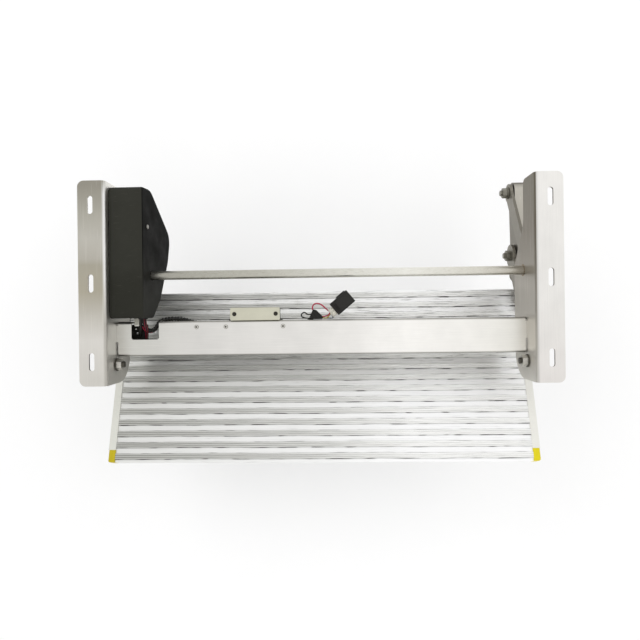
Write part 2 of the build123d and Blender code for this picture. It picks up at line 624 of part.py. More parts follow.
def gear_case():
    """Cast gear case: round wheel chamber, worm tunnel below it and bosses to the bracket."""
    wheel_room = WHEEL_MODULE * (WHEEL_TEETH + 2) / 2 + WHEEL_ROOM
    worm_room = WORM_PITCH_R + WHEEL_MODULE + WORM_ROOM
    worm_z = worm_centre_z()
    length = (SHAFT_AT[0] + CASE_REACH[0], SHAFT_AT[0] + CASE_REACH[1])
    body = rod(SHAFT_AT, wheel_room + CASE_WALL, *CASE_X)
    tunnel = Plane.XZ.offset(-length[1]) * Pos(GEAR_X, worm_z)
    body += extrude(tunnel * Circle(worm_room + CASE_WALL), length[1] - length[0])
    body += rod(SHAFT_AT, CASE_BOSS_R, -SIDE_INNER_X, CASE_X[0])
    for at in case_screw_points():
        body += rod(at, CASE_SCREW_BOSS_R, -SIDE_INNER_X, CASE_X[0])
        body -= rod(at, CASE_SCREW_R, -SIDE_INNER_X - 1, CASE_X[0] + CASE_WALL)
    body -= rod(SHAFT_AT, wheel_room, GEAR_X - WHEEL_FACE / 2 - 2, GEAR_X + WHEEL_FACE / 2 + 2)
    body -= extrude(tunnel * Circle(worm_room), length[1] - length[0] - CASE_WALL)
    return body - rod(SHAFT_AT, SHAFT_R + RUNNING_GAP, -SIDE_INNER_X - 1, CASE_X[1] + 1)


def gear_case_screws():
    """Countersunk screws through the left bracket into the gear case."""
    screws = []
    for at in case_screw_points():
        screws.append(countersink(at) + rod(at, CASE_SCREW_R, -SIDE_OUTER_X + 1, CASE_X[0] + CASE_WALL - 1))
    return Compound(screws)


def motor_can():
    """Drawn motor can on the end of the worm tunnel, with its end boss."""
    start = SHAFT_AT[0] + CASE_REACH[1]
    plane = Plane.XZ.offset(-start) * Pos(GEAR_X, worm_centre_z())
    body = extrude(plane * Circle(MOTOR_R), -MOTOR_LENGTH)
    body = fillet(body.edges().group_by(Axis.Y)[-1], MOTOR_EDGE_R)
    boss_r, boss_rise = MOTOR_END_BOSS
    return body + extrude(plane * Circle(boss_r), -MOTOR_LENGTH - boss_rise)


def worm_wheel():
    """Worm wheel pinned on the shaft."""
    tip = WHEEL_MODULE * (WHEEL_TEETH + 2) / 2
    root = WHEEL_MODULE * (WHEEL_TEETH - 2.4) / 2
    blank = Pos(*SHAFT_AT) * Circle(root)
    for n in range(WHEEL_TEETH):
        tooth = make_face(Polyline((root - 1, -1.7), (root, -1.7), (tip, -0.6), (tip, 0.6), (root, 1.7),
                                   (root - 1, 1.7), close=True))
        blank += Pos(*SHAFT_AT) * Rot(0, 0, 360 / WHEEL_TEETH * n - 90) * tooth
    body = yz_plate(blank, GEAR_X - WHEEL_FACE / 2, GEAR_X + WHEEL_FACE / 2)
    hub = WHEEL_FACE / 2 + WHEEL_ROOM
    body += rod(SHAFT_AT, SHAFT_R + 5.0, GEAR_X - hub, GEAR_X + hub)
    return body - rod(SHAFT_AT, SHAFT_R, GEAR_X - 2 * hub, GEAR_X + 2 * hub)


def control_box():
    """Open-topped box screwed to the channel's rear wall."""
    centre = Pos(sum(BOX_X) / 2, (CHANNEL_REAR_Y + BOX_REAR_Y) / 2, sum(BOX_Z) / 2)
    length, height = BOX_X[1] - BOX_X[0] - 2 * LID_OVERHANG, BOX_Z[1] - BOX_Z[0]
    body = centre * Box(length, BOX_WIDTH, height)
    body = fillet(body.edges().filter_by(Axis.Z), BOX_CORNER_R)
    body -= centre * Pos(0, 0, BOX_WALL) * Box(length - 2 * BOX_WALL, BOX_WIDTH - 2 * BOX_WALL, height)
    for x in lid_screw_xs():
        body += Pos(x, box_mid_y(), sum(BOX_Z) / 2) * Cylinder(LID_POST_R, height)
        body -= Pos(x, box_mid_y(), BOX_Z[1]) * Cylinder(LID_SCREW_R, height)
    loom_hole = Pos(LOOM_ROUTE[-1][0], LOOM_ROUTE[-1][1], BOX_Z[0])
    lead_hole = Pos(LEAD_ROUTE[0][0], LEAD_ROUTE[0][1], BOX_Z[0])
    body -= loom_hole * Cylinder(LOOM_R + CABLE_PLAY, 3 * BOX_WALL)
    return body - lead_hole * Cylinder(LEAD_R + CABLE_PLAY, 3 * BOX_WALL)


def box_mid_y():
    """Middle of the control box, front to rear."""
    return (CHANNEL_REAR_Y + BOX_REAR_Y) / 2


def lid_screw_xs():
    """Lid screws, one near each end of the box."""
    return [BOX_X[0] + LID_SCREW_INSET, BOX_X[1] - LID_SCREW_INSET]


def control_lid():
    """Lid of the control box, level with the channel's top."""
    centre = Pos(sum(BOX_X) / 2, box_mid_y(), BOX_Z[1] + LID / 2)
    body = centre * Box(BOX_X[1] - BOX_X[0], BOX_WIDTH, LID)
    body = fillet(body.edges().filter_by(Axis.Z), BOX_CORNER_R)
    for x in lid_screw_xs():
        body -= Pos(x, box_mid_y(), BOX_Z[1]) * Cylinder(SMALL_SCREW_R, 4 * LID)
    return body


def control_lid_screws():
    """Dark screws of the lid."""
    screw = pan_screw(10, 2.8, 1.2, LID_SCREW_R)
    return Compound([Pos(x, box_mid_y(), BOX_Z[1] + LID) * screw for x in lid_screw_xs()])


def control_board():
    """Circuit board on edge in the box, with two relays."""
    length = BOX_X[1] - BOX_X[0] - 4 * LID_SCREW_INSET
    middle = Pos(sum(BOX_X) / 2, box_mid_y(), BOX_Z[0] + BOX_WALL + BOARD_HEIGHT / 2)
    board = middle * Pos(0, RELAY_SIZE[1] / 2, 0) * Box(length, BOX_WALL, BOARD_HEIGHT)
    for shift in (-9.0, 9.0):
        board += middle * Pos(shift, -0.5, 0) * Box(*RELAY_SIZE)
    return board


def tube(route, radius):
    """Round cable along straight runs joined by arcs as large as the runs allow."""
    points = [Vector(*p) for p in route]
    radii = []
    for before, here, after in zip(points, points[1:], points[2:]):
        into, out = here - before, after - here
        half_turn = radians(into.get_angle(out) / 2)
        radii.append(0.45 * min(into.length, out.length) / tan(half_turn))
    path = FilletPolyline(*route, radius=radii)
    start = Plane(origin=path @ 0, z_dir=path % 0)
    return sweep(start * Circle(radius), path=path)


def loom_gland():
    """Rubber gland where the motor loom leaves the cover."""
    x, _, z = LOOM_ROUTE[0]
    at = Pos(x, COVER_OUTLINE[0][0], z) * Rot(90, 0, 0)
    body = at * Pos(0, 0, -COVER_WALL / 2) * Cylinder(GLAND_R, COVER_WALL)
    body += at * Pos(0, 0, 0.7) * Cylinder(GLAND_R + 1.5, 1.4)
    return body - at * Cylinder(LOOM_R + CABLE_PLAY, 20)


def taped_joint():
    """Taped bundle of the lead where its wires fan out."""
    flat = make_face(Polyline(*TAPE_POINTS, close=True))
    flat = fillet(flat.vertices(), 2.0)
    body = extrude(Plane.XY.offset(TAPE_Z[0]) * flat, TAPE_Z[1] - TAPE_Z[0])
    return fillet(body.edges().group_by(Axis.Z)[-1], 1.5)


def on_connector(shape):
    """Place a piece drawn along X onto the connector's own axis."""
    return Pos(*CONNECTOR_AT) * Rot(0, 0, CONNECTOR_TURN) * shape


def lead_connector():
    """Rectangular plug housing with a latch step on its side."""
    length, width, height = CONNECTOR_SIZE
    body = fillet(Box(length, width, height).edges().filter_by(Axis.Z), 2.0)
    body += Pos(length / 6, width / 2, 0) * Box(length / 2, LATCH_RISE, height * 0.6)
    socket = (2 * SOCKET_DEPTH, width - 2 * SOCKET_WALL, height - 2 * SOCKET_WALL)
    body -= Pos(length / 2, 0, 0) * Box(*socket)
    return on_connector(body)


def connector_neck():
    """Wire seal block at the back of the plug."""
    length, width, height = NECK_SIZE
    at = Pos(-CONNECTOR_SIZE[0] / 2 - length / 2, -1.0, 0)
    return on_connector(at * fillet(Box(length, width, height).edges().filter_by(Axis.X), 2.0))


def both(right):
    """A pair of solids: the given right-hand one and its mirror image."""
    return Compound([right, mirrored(right)])


def make_parts():
    """Every sub-part by its node name."""
    inner_seat = SIDE_INNER_X - WASHER
    pivot_seat = ARM_OUTER_X + FACE_GAP
    return {
        "left_bracket": left_bracket(),
        "right_bracket": bracket(),
        "cross_channel": cross_channel(),
        "channel_screws": channel_screws(),
        "shaft_bush_left": mirrored(shaft_bush()),
        "shaft_bush_right": shaft_bush(),
        "support_pivot_bolts": both(support_pivot_bolt()),
        "support_pivot_sleeves": both(support_pivot_sleeve()),
        "support_pivot_washers": Compound(
            [w for x in (inner_seat, pivot_seat) for w in both(washer(SUPPORT_AT, WASHER_R, x, x + WASHER))]),
        "support_pivot_nuts": both(nut(SUPPORT_AT, inner_seat)),
        "gear_case": gear_case(),
        "gear_case_screws": gear_case_screws(),
        "motor_can": motor_can(),
        "motor_cover": motor_cover(),
        "cover_back": cover_back(),
        "cover_screws": cover_screws(),
        "cover_face_screw": cover_face_screw(),
        "control_box": control_box(),
        "control_lid": control_lid(),
        "control_lid_screws": control_lid_screws(),
        "control_board": control_board(),
        "motor_loom": tube(LOOM_ROUTE, LOOM_R),
        "loom_gland": loom_gland(),
        "plug_lead": tube(LEAD_ROUTE, LEAD_R),
        "taped_joint": taped_joint(),
        "wire_red": tube(RED_ROUTE, WIRE_R),
        "wire_black": tube(BLACK_ROUTE, WIRE_R),
        "wire_yellow": tube(YELLOW_ROUTE, WIRE_R),
        "wire_grey": tube(GREY_ROUTE, WIRE_R),
        "lead_connector": lead_connector(),
        "connector_neck": connector_neck(),
        "drive_shaft": drive_shaft(),
        "drive_arm_left": mirrored(drive_arm()),
        "drive_arm_right": drive_arm(),
        "arm_pins": Compound([arm_pin(-1), arm_pin(1)]),
        "worm_wheel": worm_wheel(),
        "support_arm_left": mirrored(support_arm()),
        "support_arm_right": support_arm(),
        "support_bushes": both(support_bush()),
        "link_bolts": Compound([link_bolt(-1), link_bolt(1)]),
        "link_nuts": Compound([link_nut(-1), link_nut(1)]),
        "link_sleeves": both(link_sleeve()),
        "link_washers": both(washer(LINK_PIN_AT, LINK_WASHER_R, LINK_HEAD_SEAT - WASHER, LINK_HEAD_SEAT)),
        "tread_deck": tread_deck(),
        "tread_side_left": mirrored(tread_side()),
        "tread_side_right": tread_side(),
        "corner_cap_left": mirrored(corner_cap()),
        "corner_cap_right": corner_cap(),
        "tread_screws": tread_screws(),
        "drive_pin_bolts": both(drive_pin_bolt()),
        "drive_pin_sleeves": both(drive_pin_sleeve()),
        "drive_pin_washers": both(washer(DRIVE_PIN_AT, WASHER_R, DRIVE_PIN_SEAT - WASHER, DRIVE_PIN_SEAT)),
        "drive_pin_nuts": both(nut(DRIVE_PIN_AT, DRIVE_PIN_SEAT - WASHER)),
    }


if __name__ == "__main__":
    os.makedirs("parts", exist_ok=True)
    for name, part in make_parts().items():
        export_step(part, f"parts/{name}.step")
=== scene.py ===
"""Looks of the electric folding step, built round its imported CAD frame."""
from __future__ import annotations

import logging
import math
from dataclasses import dataclass, field
from enum import Enum

import bmesh
import bpy
from mathutils import Matrix, Vector

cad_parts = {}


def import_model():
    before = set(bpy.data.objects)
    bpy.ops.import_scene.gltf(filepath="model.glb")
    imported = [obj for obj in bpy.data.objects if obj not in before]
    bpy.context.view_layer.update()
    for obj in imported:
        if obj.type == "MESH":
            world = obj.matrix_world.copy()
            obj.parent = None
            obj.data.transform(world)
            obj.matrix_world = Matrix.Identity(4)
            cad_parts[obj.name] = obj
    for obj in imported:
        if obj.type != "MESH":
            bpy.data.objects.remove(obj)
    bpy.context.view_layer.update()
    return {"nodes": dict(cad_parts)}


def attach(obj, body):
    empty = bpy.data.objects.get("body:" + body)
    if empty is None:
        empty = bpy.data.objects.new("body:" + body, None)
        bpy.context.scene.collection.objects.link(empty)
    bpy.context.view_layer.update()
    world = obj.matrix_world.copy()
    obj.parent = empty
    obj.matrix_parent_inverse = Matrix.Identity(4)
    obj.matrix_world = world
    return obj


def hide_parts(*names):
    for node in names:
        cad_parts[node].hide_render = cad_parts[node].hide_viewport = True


LOG = logging.getLogger("folding_step")
MM = 0.001

# All the pieces made here, wiring and screws, are fixed to the frame.
FIXED_BODY = "frame"
SHARP_ANGLE = math.radians(38)

Material = bpy.types.Material
Stops = tuple[tuple[float, str], ...]
Size = tuple[float, float, float]
Range = tuple[float, float]
# Rings of a turned shape: radius, height, and whether the ring is a hexagon.
Outline = tuple[tuple[float, float, bool], ...]

# Stretch that most of a noise lies in, and the slightly wider one that a tint is spread over.
NOISE_SPREAD: Range = (0.3, 0.7)
TINT_SPREAD: Range = (0.28, 0.72)

# Stretches of the step, in millimetres, that tones change over.
BRACKET_Y: Range = (-131.0, 131.0)
TREAD_Y: Range = (-251.0, 130.0)
COVER_Y: Range = (-140.0, 125.0)
LINKAGE_X: Range = (-290.0, 290.0)
CHANNEL_X: Range = (-270.0, 270.0)
SHAFT_X: Range = (-287.0, 287.0)
TREAD_X: Range = (-300.0, 300.0)


class Axis(Enum):
    """Direction that a grain or a change of tone follows."""

    X = 0
    Y = 1
    Z = 2


def linear(hex_colour: str) -> tuple[float, float, float, float]:
    """Turn an sRGB hex colour into linear values.

    Args:
        hex_colour: Colour as six hex digits with a leading hash.

    Returns:
        Linear red, green, blue and an alpha of 1.
    """
    channels = [int(hex_colour[i:i + 2], 16) / 255 for i in (1, 3, 5)]
    red, green, blue = [c / 12.92 if c <= 0.04045 else ((c + 0.055) / 1.055) ** 2.4 for c in channels]
    return (red, green, blue, 1.0)


class Value:
    """Output of a node, which can be reckoned with like a number."""

    def __init__(self, tree: Tree, socket: bpy.types.NodeSocket) -> None:
        """Keep the node's output and the tree that it is in."""
        self.tree = tree
        self.socket = socket

    def reckon(self, operation: str, other: object = 0.0) -> Value:
        """Return the result of one sum on this value."""
        return self.tree.add("ShaderNodeMath", {0: self, 1: other}, operation=operation)

    def __add__(self, other: object) -> Value:
        """Return this value and another together."""
        return self.reckon("ADD", other)

    def __sub__(self, other: object) -> Value:
        """Return this value less another."""
        return self.reckon("SUBTRACT", other)

    def __rsub__(self, other: object) -> Value:
        """Return a number less this value."""
        return self.tree.add("ShaderNodeMath", {0: other, 1: self}, operation="SUBTRACT")

    def __mul__(self, other: object) -> Value:
        """Return this value times another."""
        return self.reckon("MULTIPLY", other)

    def __truediv__(self, other: object) -> Value:
        """Return this value divided by another."""
        return self.reckon("DIVIDE", other)

    def __gt__(self, other: object) -> Value:
        """Return 1 where this value is above another, else 0."""
        return self.reckon("GREATER_THAN", other)

    def __lt__(self, other: object) -> Value:
        """Return 1 where this value is below another, else 0."""
        return self.reckon("LESS_THAN", other)

    def __abs__(self) -> Value:
        """Return this value without its sign."""
        return self.reckon("ABSOLUTE")


class Tree:
    """Node tree, with one call that adds any node with its settings and links."""

    def __init__(self, nodes: bpy.types.NodeTree) -> None:
        """Work on a tree that is there."""
        self.tree = nodes

    def feed(self, socket: bpy.types.NodeSocket, given: object) -> None:
        """Join an input to values, or set its own value.

        Args:
            socket: Input to fill.
            given: A value, a list of values for an input that takes several, or a plain setting.
        """
        if isinstance(given, (Value, list)):
            for value in given if isinstance(given, list) else [given]:
                self.tree.links.new(value.socket, socket)
        else:
            socket.default_value = given

    def add(self, kind: str, inputs: dict | None = None, out: int | str = 0, **settings: object) -> Value:
        """Add a node.

        Args:
            kind: Blender's name of the node type.
            inputs: What goes into each input, by its name or number.
            out: Name or number of the output that is wanted.
            settings: Properties of the node itself.

        Returns:
            The wanted output.
        """
        node = self.tree.nodes.new(kind)
        for key, setting in settings.items():
            setattr(node, key, setting)
        for key, given in (inputs or {}).items():
            self.feed(node.inputs[key], given)
        return Value(self, node.outputs[out])


class Graph(Tree):
    """Node tree of one material."""

    def __init__(self, name: str) -> None:
        """Make the material, and the value with the object's own coordinates.

        Args:
            name: Name of the material.
        """
        self.material = bpy.data.materials.new(name)
        self.material.use_nodes = True
        super().__init__(self.material.node_tree)
        self.place = self.add("ShaderNodeTexCoord", out="Object")

    def along(self, axis: Axis) -> Value:
        """Return the place along an axis of the object, in metres."""
        return self.add("ShaderNodeSeparateXYZ", {0: self.place}, out=axis.value)

    def level(self) -> Value:
        """Return how level the face is, from 0 on an upright face to 1 on a level one."""
        facing = self.add("ShaderNodeNewGeometry", out="Normal")
        return abs(self.add("ShaderNodeSeparateXYZ", {0: facing}, out=Axis.Z.value))

    def remap(self, value: Value, low: float, high: float, out: Range = (0.0, 1.0)) -> Value:
        """Turn one range of a value evenly into another, and hold it there beyond the ends."""
        return self.add("ShaderNodeMapRange", {
            "Value": value, "From Min": low, "From Max": high, "To Min": out[0], "To Max": out[1]})

    def rise(self, value: Value, low: float, high: float) -> Value:
        """Rise from 0 to 1 between two values, with soft ends."""
        return self.add("ShaderNodeMapRange", {"Value": value, "From Min": low, "From Max": high},
                        interpolation_type="SMOOTHSTEP")

    def vary(self, pattern: Value, out: Range) -> Value:
        """Let a pattern run between two values."""
        return self.remap(pattern, *NOISE_SPREAD, out)

    def tones(self, value: Value, stops: Stops) -> Value:
        """Turn a value into a colour.

        Args:
            value: Value from 0 to 1.
            stops: Places and sRGB hex colours, in rising order.

        Returns:
            The colour.
        """
        colour = self.add("ShaderNodeValToRGB", {0: value})
        elements = colour.socket.node.color_ramp.elements
        while len(elements) < len(stops):
            elements.new(1.0)
        for element, (where, tone) in zip(elements, stops):
            element.position = where
            element.color = linear(tone)
        return colour

    def coat(self, under: object, over: object, share: object, way: str = "MIX") -> Value:
        """Lay a colour over another.

        Args:
            under: Colour below.
            over: Colour on top.
            share: How much of the one on top shows, from 0 to 1.
            way: Blend type.

        Returns:
            The mixed colour.
        """
        # The node has sockets for every type of data. Inputs 6 and 7 and output 2 are its colours.
        return self.add("ShaderNodeMix", {0: share, 6: under, 7: over}, out=2, data_type="RGBA",
                        blend_type=way)

    def tint(self, colour: object, pattern: Value, dark: float, pale: float) -> Value:
        """Darken and brighten a colour by a pattern.

        Args:
            colour: Colour to change.
            pattern: Pattern from 0 to 1.
            dark: Multiplier where the pattern is low.
            pale: Multiplier where the pattern is high.

        Returns:
            The changed colour.
        """
        strength = self.remap(pattern, *TINT_SPREAD, (dark, pale))
        grey = self.add("ShaderNodeCombineColor", {0: strength, 1: strength, 2: strength})
        return self.coat(colour, grey, 1.0, "MULTIPLY")

    def relief(self, height: Value, depth_mm: float, edge_mm: float = 0.0) -> Value:
        """Raise a surface by a pattern.

        Args:
            height: Pattern from 0 to 1.
            depth_mm: Height of the pattern.
            edge_mm: Radius to which sharp edges are rounded for the light, or none.

        Returns:
            The changed normal.
        """
        inputs = {"Strength": 1.0, "Distance": depth_mm * MM, "Height": height}
        if edge_mm:
            inputs["Normal"] = self.add("ShaderNodeBevel", {"Radius": edge_mm * MM}, samples=4)
        return self.add("ShaderNodeBump", inputs, out="Normal")

    def finish(self, **inputs: object) -> Material:
        """Fill the shader's inputs.

        Args:
            inputs: Value by the name of the shader's input, with _ for a space.

        Returns:
            The finished material.
        """
        shader = self.tree.nodes["Principled BSDF"]
        for key, given in inputs.items():
            self.feed(shader.inputs[key.replace("_", " ")], given)
        return self.material


@dataclass(frozen=True)
class Pattern:
    """Noise whose features have a real size, in millimetres along each axis."""

    size: Size
    detail: float = 3.0
    shift: float = 0.0
    rough: float = 0.55

    def on(self, graph: Graph, source: Value | None = None) -> Value:
        """Lay the noise on a material.

        Args:
            graph: Tree of the material.
            source: Coordinates in metres, else the object's own.

        Returns:
            The noise, from 0 to 1.
        """
        # Two patterns of one size differ by their shift, which moves them unevenly along the three axes.
        moved = graph.add("ShaderNodeMapping", {
            "Vector": source or graph.place, "Location": (self.shift, self.shift * 1.7, self.shift * 0.6),
            "Scale": tuple(1.0 / (s * MM) for s in self.size)})
        return graph.add("ShaderNodeTexNoise", {
            "Vector": moved, "Scale": 1.0, "Detail": self.detail, "Roughness": self.rough})


@dataclass(frozen=True)
class Gradient:
    """Change of tone along one axis, over a stretch in millimetres."""

    axis: Axis
    stretch: Range
    stops: Stops

    def colour(self, graph: Graph) -> Value:
        """Return the colour at each point of the object."""
        low, high = self.stretch
        return graph.tones(graph.remap(graph.along(self.axis), low * MM, high * MM), self.stops)


@dataclass(frozen=True)
class RolledSheet:
    """Rolled and folded sheet: fine lines, soft clouds, hairline scratches, and painted shade or a painted
    highlight along the bends.

    The lines are drawn 0.45 mm wide. Real brushed lines are about a tenth of that and would not show.
    """

    name: str
    flat: Gradient
    upright: Gradient
    grain: Axis = Axis.Y
    roughness: Range = (0.30, 0.46)
    shift: float = 0.0
    # Painted shade along the bends: a dull dark band, unless a sheet has its own run of tones for it.
    bend_shading: Gradient = Gradient(Axis.X, TREAD_X, ((0.0, "#57544C"), (1.0, "#57544C")))
    bend_shading_share: float = 0.3
    scratch: str = "#F4F2EC"
    scratch_share: float = 0.22
    # Width across the grain and length along it, in millimetres.
    line_size: Range = (0.45, 38.0)
    scratch_size: Range = (0.9, 75.0)
    cloud_size: Size = (34.0, 46.0, 34.0)
    # Levels, from 0 upright to 1 flat: above one the flat tones are used, and the painted shade or highlight
    # of a bend comes in between the first two of the others and goes out between the last two.
    flat_from: float = 0.72
    bend_levels: tuple[float, float, float, float] = (0.12, 0.4, 0.8, 0.985)

    def lengthwise(self, line: Range, detail: float, shift: float) -> Pattern:
        """Choose a pattern of lines that run with the grain.

        Args:
            line: Width and length of a line in millimetres.
            detail: Octaves of the noise.
            shift: What sets it apart from the sheet's other patterns.

        Returns:
            The pattern.
        """
        size = [line[0]] * 3
        size[self.grain.value] = line[1]
        return Pattern(tuple(size), detail, self.shift + shift)

    def build(self) -> Material:
        """Make the material: flat faces, upright faces and bends each have their own run of tones; the
        bends' tones are painted shade or highlight.

        Returns:
            The finished material.
        """
        graph = Graph(self.name)
        level = graph.level()
        colour = graph.coat(self.upright.colour(graph), self.flat.colour(graph), level > self.flat_from)
        # Painted shade in a band along each bend, and on the rear of the left bracket's bend a painted
        # highlight.
        starts, full, fades, ends = self.bend_levels
        bent = graph.rise(level, starts, full) * (1.0 - graph.rise(level, fades, ends))
        colour = graph.coat(colour, self.bend_shading.colour(graph), bent * self.bend_shading_share)
        lines = self.lengthwise(self.line_size, detail=4.0, shift=0.0).on(graph)
        hairlines = self.lengthwise(self.scratch_size, detail=1.0, shift=5.3).on(graph)
        scratches = graph.rise(hairlines, 0.66, 0.72)
        clouds = Pattern(self.cloud_size, detail=3.0, shift=self.shift + 2.1).on(graph)
        colour = graph.tint(colour, lines, 0.955, 1.03)
        colour = graph.tint(colour, clouds, 0.95, 1.03)
        colour = graph.coat(colour, linear(self.scratch), scratches * self.scratch_share)
        return graph.finish(Base_Color=colour, Metallic=1.0, Normal=graph.relief(lines, 0.012),
                            Roughness=graph.vary(lines * 0.7 + clouds * 0.3, self.roughness))


@dataclass(frozen=True)
class TurnedMetal:
    """Drawn, turned, cast or plated metal of one tone, such as a shaft, a bolt or a case.

    The marks follow the tool's traces or the casting's skin and are at least 0.4 mm wide, since real tool
    marks of a tenth of that would not show.
    """

    name: str
    dark: str
    pale: str
    marks: Size
    roughness: Range
    depth: float = 0.01
    spots: float = 0.0
    gradient: Gradient | None = None
    gradient_share: float = 0.85
    spot: str = "#5C5850"
    cloud_pattern: Pattern = Pattern((7.0, 7.0, 7.0), 3.0, 3.4)
    spot_pattern: Pattern = Pattern((1.4, 1.4, 1.4), 2.0, 9.1)

    def build(self) -> Material:
        """Make the material: tool marks, plating clouds and a few dull spots.

        Returns:
            The finished material.
        """
        graph = Graph(self.name)
        marks = Pattern(self.marks, 4.0).on(graph)
        clouds = self.cloud_pattern.on(graph)
        colour = graph.tones(clouds, ((0.3, self.dark), (0.7, self.pale)))
        if self.gradient is not None:
            colour = graph.coat(colour, self.gradient.colour(graph), self.gradient_share)
        colour = graph.tint(colour, marks, 0.93, 1.04)
        if self.spots:
            dull = graph.rise(self.spot_pattern.on(graph), 0.62, 0.70)
            colour = graph.coat(colour, linear(self.spot), dull * self.spots)
        return graph.finish(Base_Color=colour, Metallic=1.0, Roughness=graph.vary(marks, self.roughness),
                            Normal=graph.relief(marks, self.depth))


@dataclass(frozen=True)
class TreadMetal:
    """Extruded aluminium tread: bright lands and grey ribs with drawn streaks, with painted shade as thin
    dark lines and short dark dashes on the ribs' edges.

    The streaks are 0.6 mm wide, several times a real die line, so that they show. Sizes are in millimetres
    and the tilt is in degrees.
    """

    name: str
    rear_edge: Range
    tilt: float
    pitch: float
    rib: float
    half_width: float = 290.0
    sway_mm: float = 2.2
    # Spacing, tone and strengths of the painted shade on the ribs' edges: a thin line and short dashes along
    # it.
    shade_dash_pitch: float = 47.0
    shade_dash: str = "#4C4B47"
    edge_line_shade_share: float = 0.3
    shade_dash_share: float = 0.8
    # Where in its cycle a dash of painted shade starts, is full, thins out and ends.
    shade_dash_cycle: tuple[float, float, float, float] = (0.04, 0.3, 0.4, 0.78)
    # Distances from a rib's edge, in pitches, at which the thin line of painted shade is full and at which
    # it is gone.
    front_line: Range = (0.014, 0.05)
    back_line: Range = (0.01, 0.034)
    back_share: float = 0.75
    # Tone of the drag marks, and the stretch across the deck and the shares over which they deepen behind
    # the channel as painted shade.
    drag_shade: str = "#6A6964"
    drag_shade_stretch: Range = (-150.0, -75.0)
    drag_shade_shares: Range = (0.10, 0.62)
    # Lands and ribs both run from darker at the left to white at the right: painted light from the right.
    land_tones: Stops = (
        (0.0, "#E4E4E1"), (0.2, "#ECECEA"), (0.5, "#F7F7F6"), (0.72, "#FFFFFF"), (1.0, "#FFFFFF"))
    rib_tones: Stops = (
        (0.0, "#C0C0BB"), (0.2, "#CCCCC8"), (0.5, "#E3E3E0"), (0.72, "#FFFFFD"), (1.0, "#FAFAF8"))
    sway: Pattern = Pattern((60.0, 40.0, 1.0), 2.0, 21.0)
    streaks: Pattern = Pattern((46.0, 0.6, 1.0), 4.0, 1.3, 0.7)
    drawn: Pattern = Pattern((90.0, 1.6, 1.0), 3.0, 7.7)
    drags: Pattern = Pattern((30.0, 1.0, 1.0), 3.0, 4.0, 0.62)
    wander: Pattern = Pattern((34.0, 5.0, 1.0), 2.0, 12.0)
    fade: Pattern = Pattern((48.0, 6.0, 1.0), 2.0, 31.0)

    def build(self) -> Material:
        """Make the material in the deck's own directions, along X and across the ribs.

        Returns:
            The finished material.
        """
        graph = Graph(self.name)
        turn = math.radians(self.tilt)
        rear_y, rear_z = self.rear_edge
        x = graph.along(Axis.X)
        back = (graph.along(Axis.Y) - rear_y * MM) * math.cos(turn)
        across = back - (graph.along(Axis.Z) - rear_z * MM) * math.sin(turn)
        deck = graph.add("ShaderNodeCombineXYZ", {0: x, 1: across})
        # The ribs' edges sway a little, as a drawn profile's light does.
        sway = (self.sway.on(graph, deck) - 0.5) * (self.sway_mm * MM)
        lines = (across + sway) / (self.pitch * MM)
        phase = lines.reckon("FRACT")
        half = self.rib / self.pitch / 2
        on_rib = 1.0 - graph.rise(abs(phase - 0.5), half - 0.015, half + 0.015)
        sideways = graph.remap(x, -self.half_width * MM, self.half_width * MM)
        streaks = self.streaks.on(graph, deck)
        rib = graph.tint(graph.tones(sideways, self.rib_tones), streaks, 0.74, 1.14)
        land = graph.tint(graph.tones(sideways, self.land_tones), self.drawn.on(graph, deck), 0.955, 1.02)
        colour = graph.coat(land, rib, on_rib)
        # Painted shade on the ribs' edges, laid over the colour.
        edge, shade_dash = self.edge_shading(graph, x, lines, phase, deck)
        painted_edge_shade = (edge * self.edge_line_shade_share + shade_dash * self.shade_dash_share).reckon("MINIMUM", 0.95)
        colour = graph.coat(colour, linear(self.shade_dash), painted_edge_shade)
        # Dark drag marks lie over the deck, faint at the front and strong behind the channel, where the
        # extra darkness is painted shade of the channel and linkage.
        drags = graph.rise(self.drags.on(graph, deck), 0.56, 0.66)
        rear, front = self.drag_shade_stretch
        shade_behind = graph.remap(across, rear * MM, front * MM, self.drag_shade_shares)
        colour = graph.coat(colour, linear(self.drag_shade), drags * shade_behind)
        return graph.finish(Base_Color=colour, Metallic=0.85, Roughness=graph.vary(streaks, (0.34, 0.5)),
                            Normal=graph.relief(streaks * 0.5 - shade_dash * 1.4, 0.05))

    def edge_shading(self, graph: Graph, x: Value, lines: Value, phase: Value, deck: Value) -> tuple[Value, Value]:
        """Make the painted shade on both edges of each rib: a thin line, and short dashes along it.

        Args:
            graph: Tree of the material.
            x: Place along the rib.
            lines: Place across the ribs, in pitches.
            phase: Fraction of the pitch.
            deck: Coordinates on the deck's face.

        Returns:
            Strength of the thin line and strength of the dashes.
        """
        half = self.rib / self.pitch / 2
        row = lines.reckon("FLOOR") * 2.0 + (phase > 0.5)
        start = graph.add("ShaderNodeTexWhiteNoise", {"W": row}, noise_dimensions="1D")
        regular = x / (self.shade_dash_pitch * MM) + start * 7.0
        cycle = (regular + self.wander.on(graph, deck) * 1.9).reckon("FRACT")
        begins, full, thins, ends = self.shade_dash_cycle
        body = graph.rise(cycle, begins, full) * (1.0 - graph.rise(cycle, thins, ends))
        body = body * (graph.rise(self.fade.on(graph, deck), 0.36, 0.6) * 0.85 + 0.15)
        near_front = 1.0 - graph.rise(abs(phase - (0.5 - half)), *self.front_line)
        near_back = 1.0 - graph.rise(abs(phase - (0.5 + half)), *self.back_line)
        edge = near_front + near_back * self.back_share
        return edge, edge * body


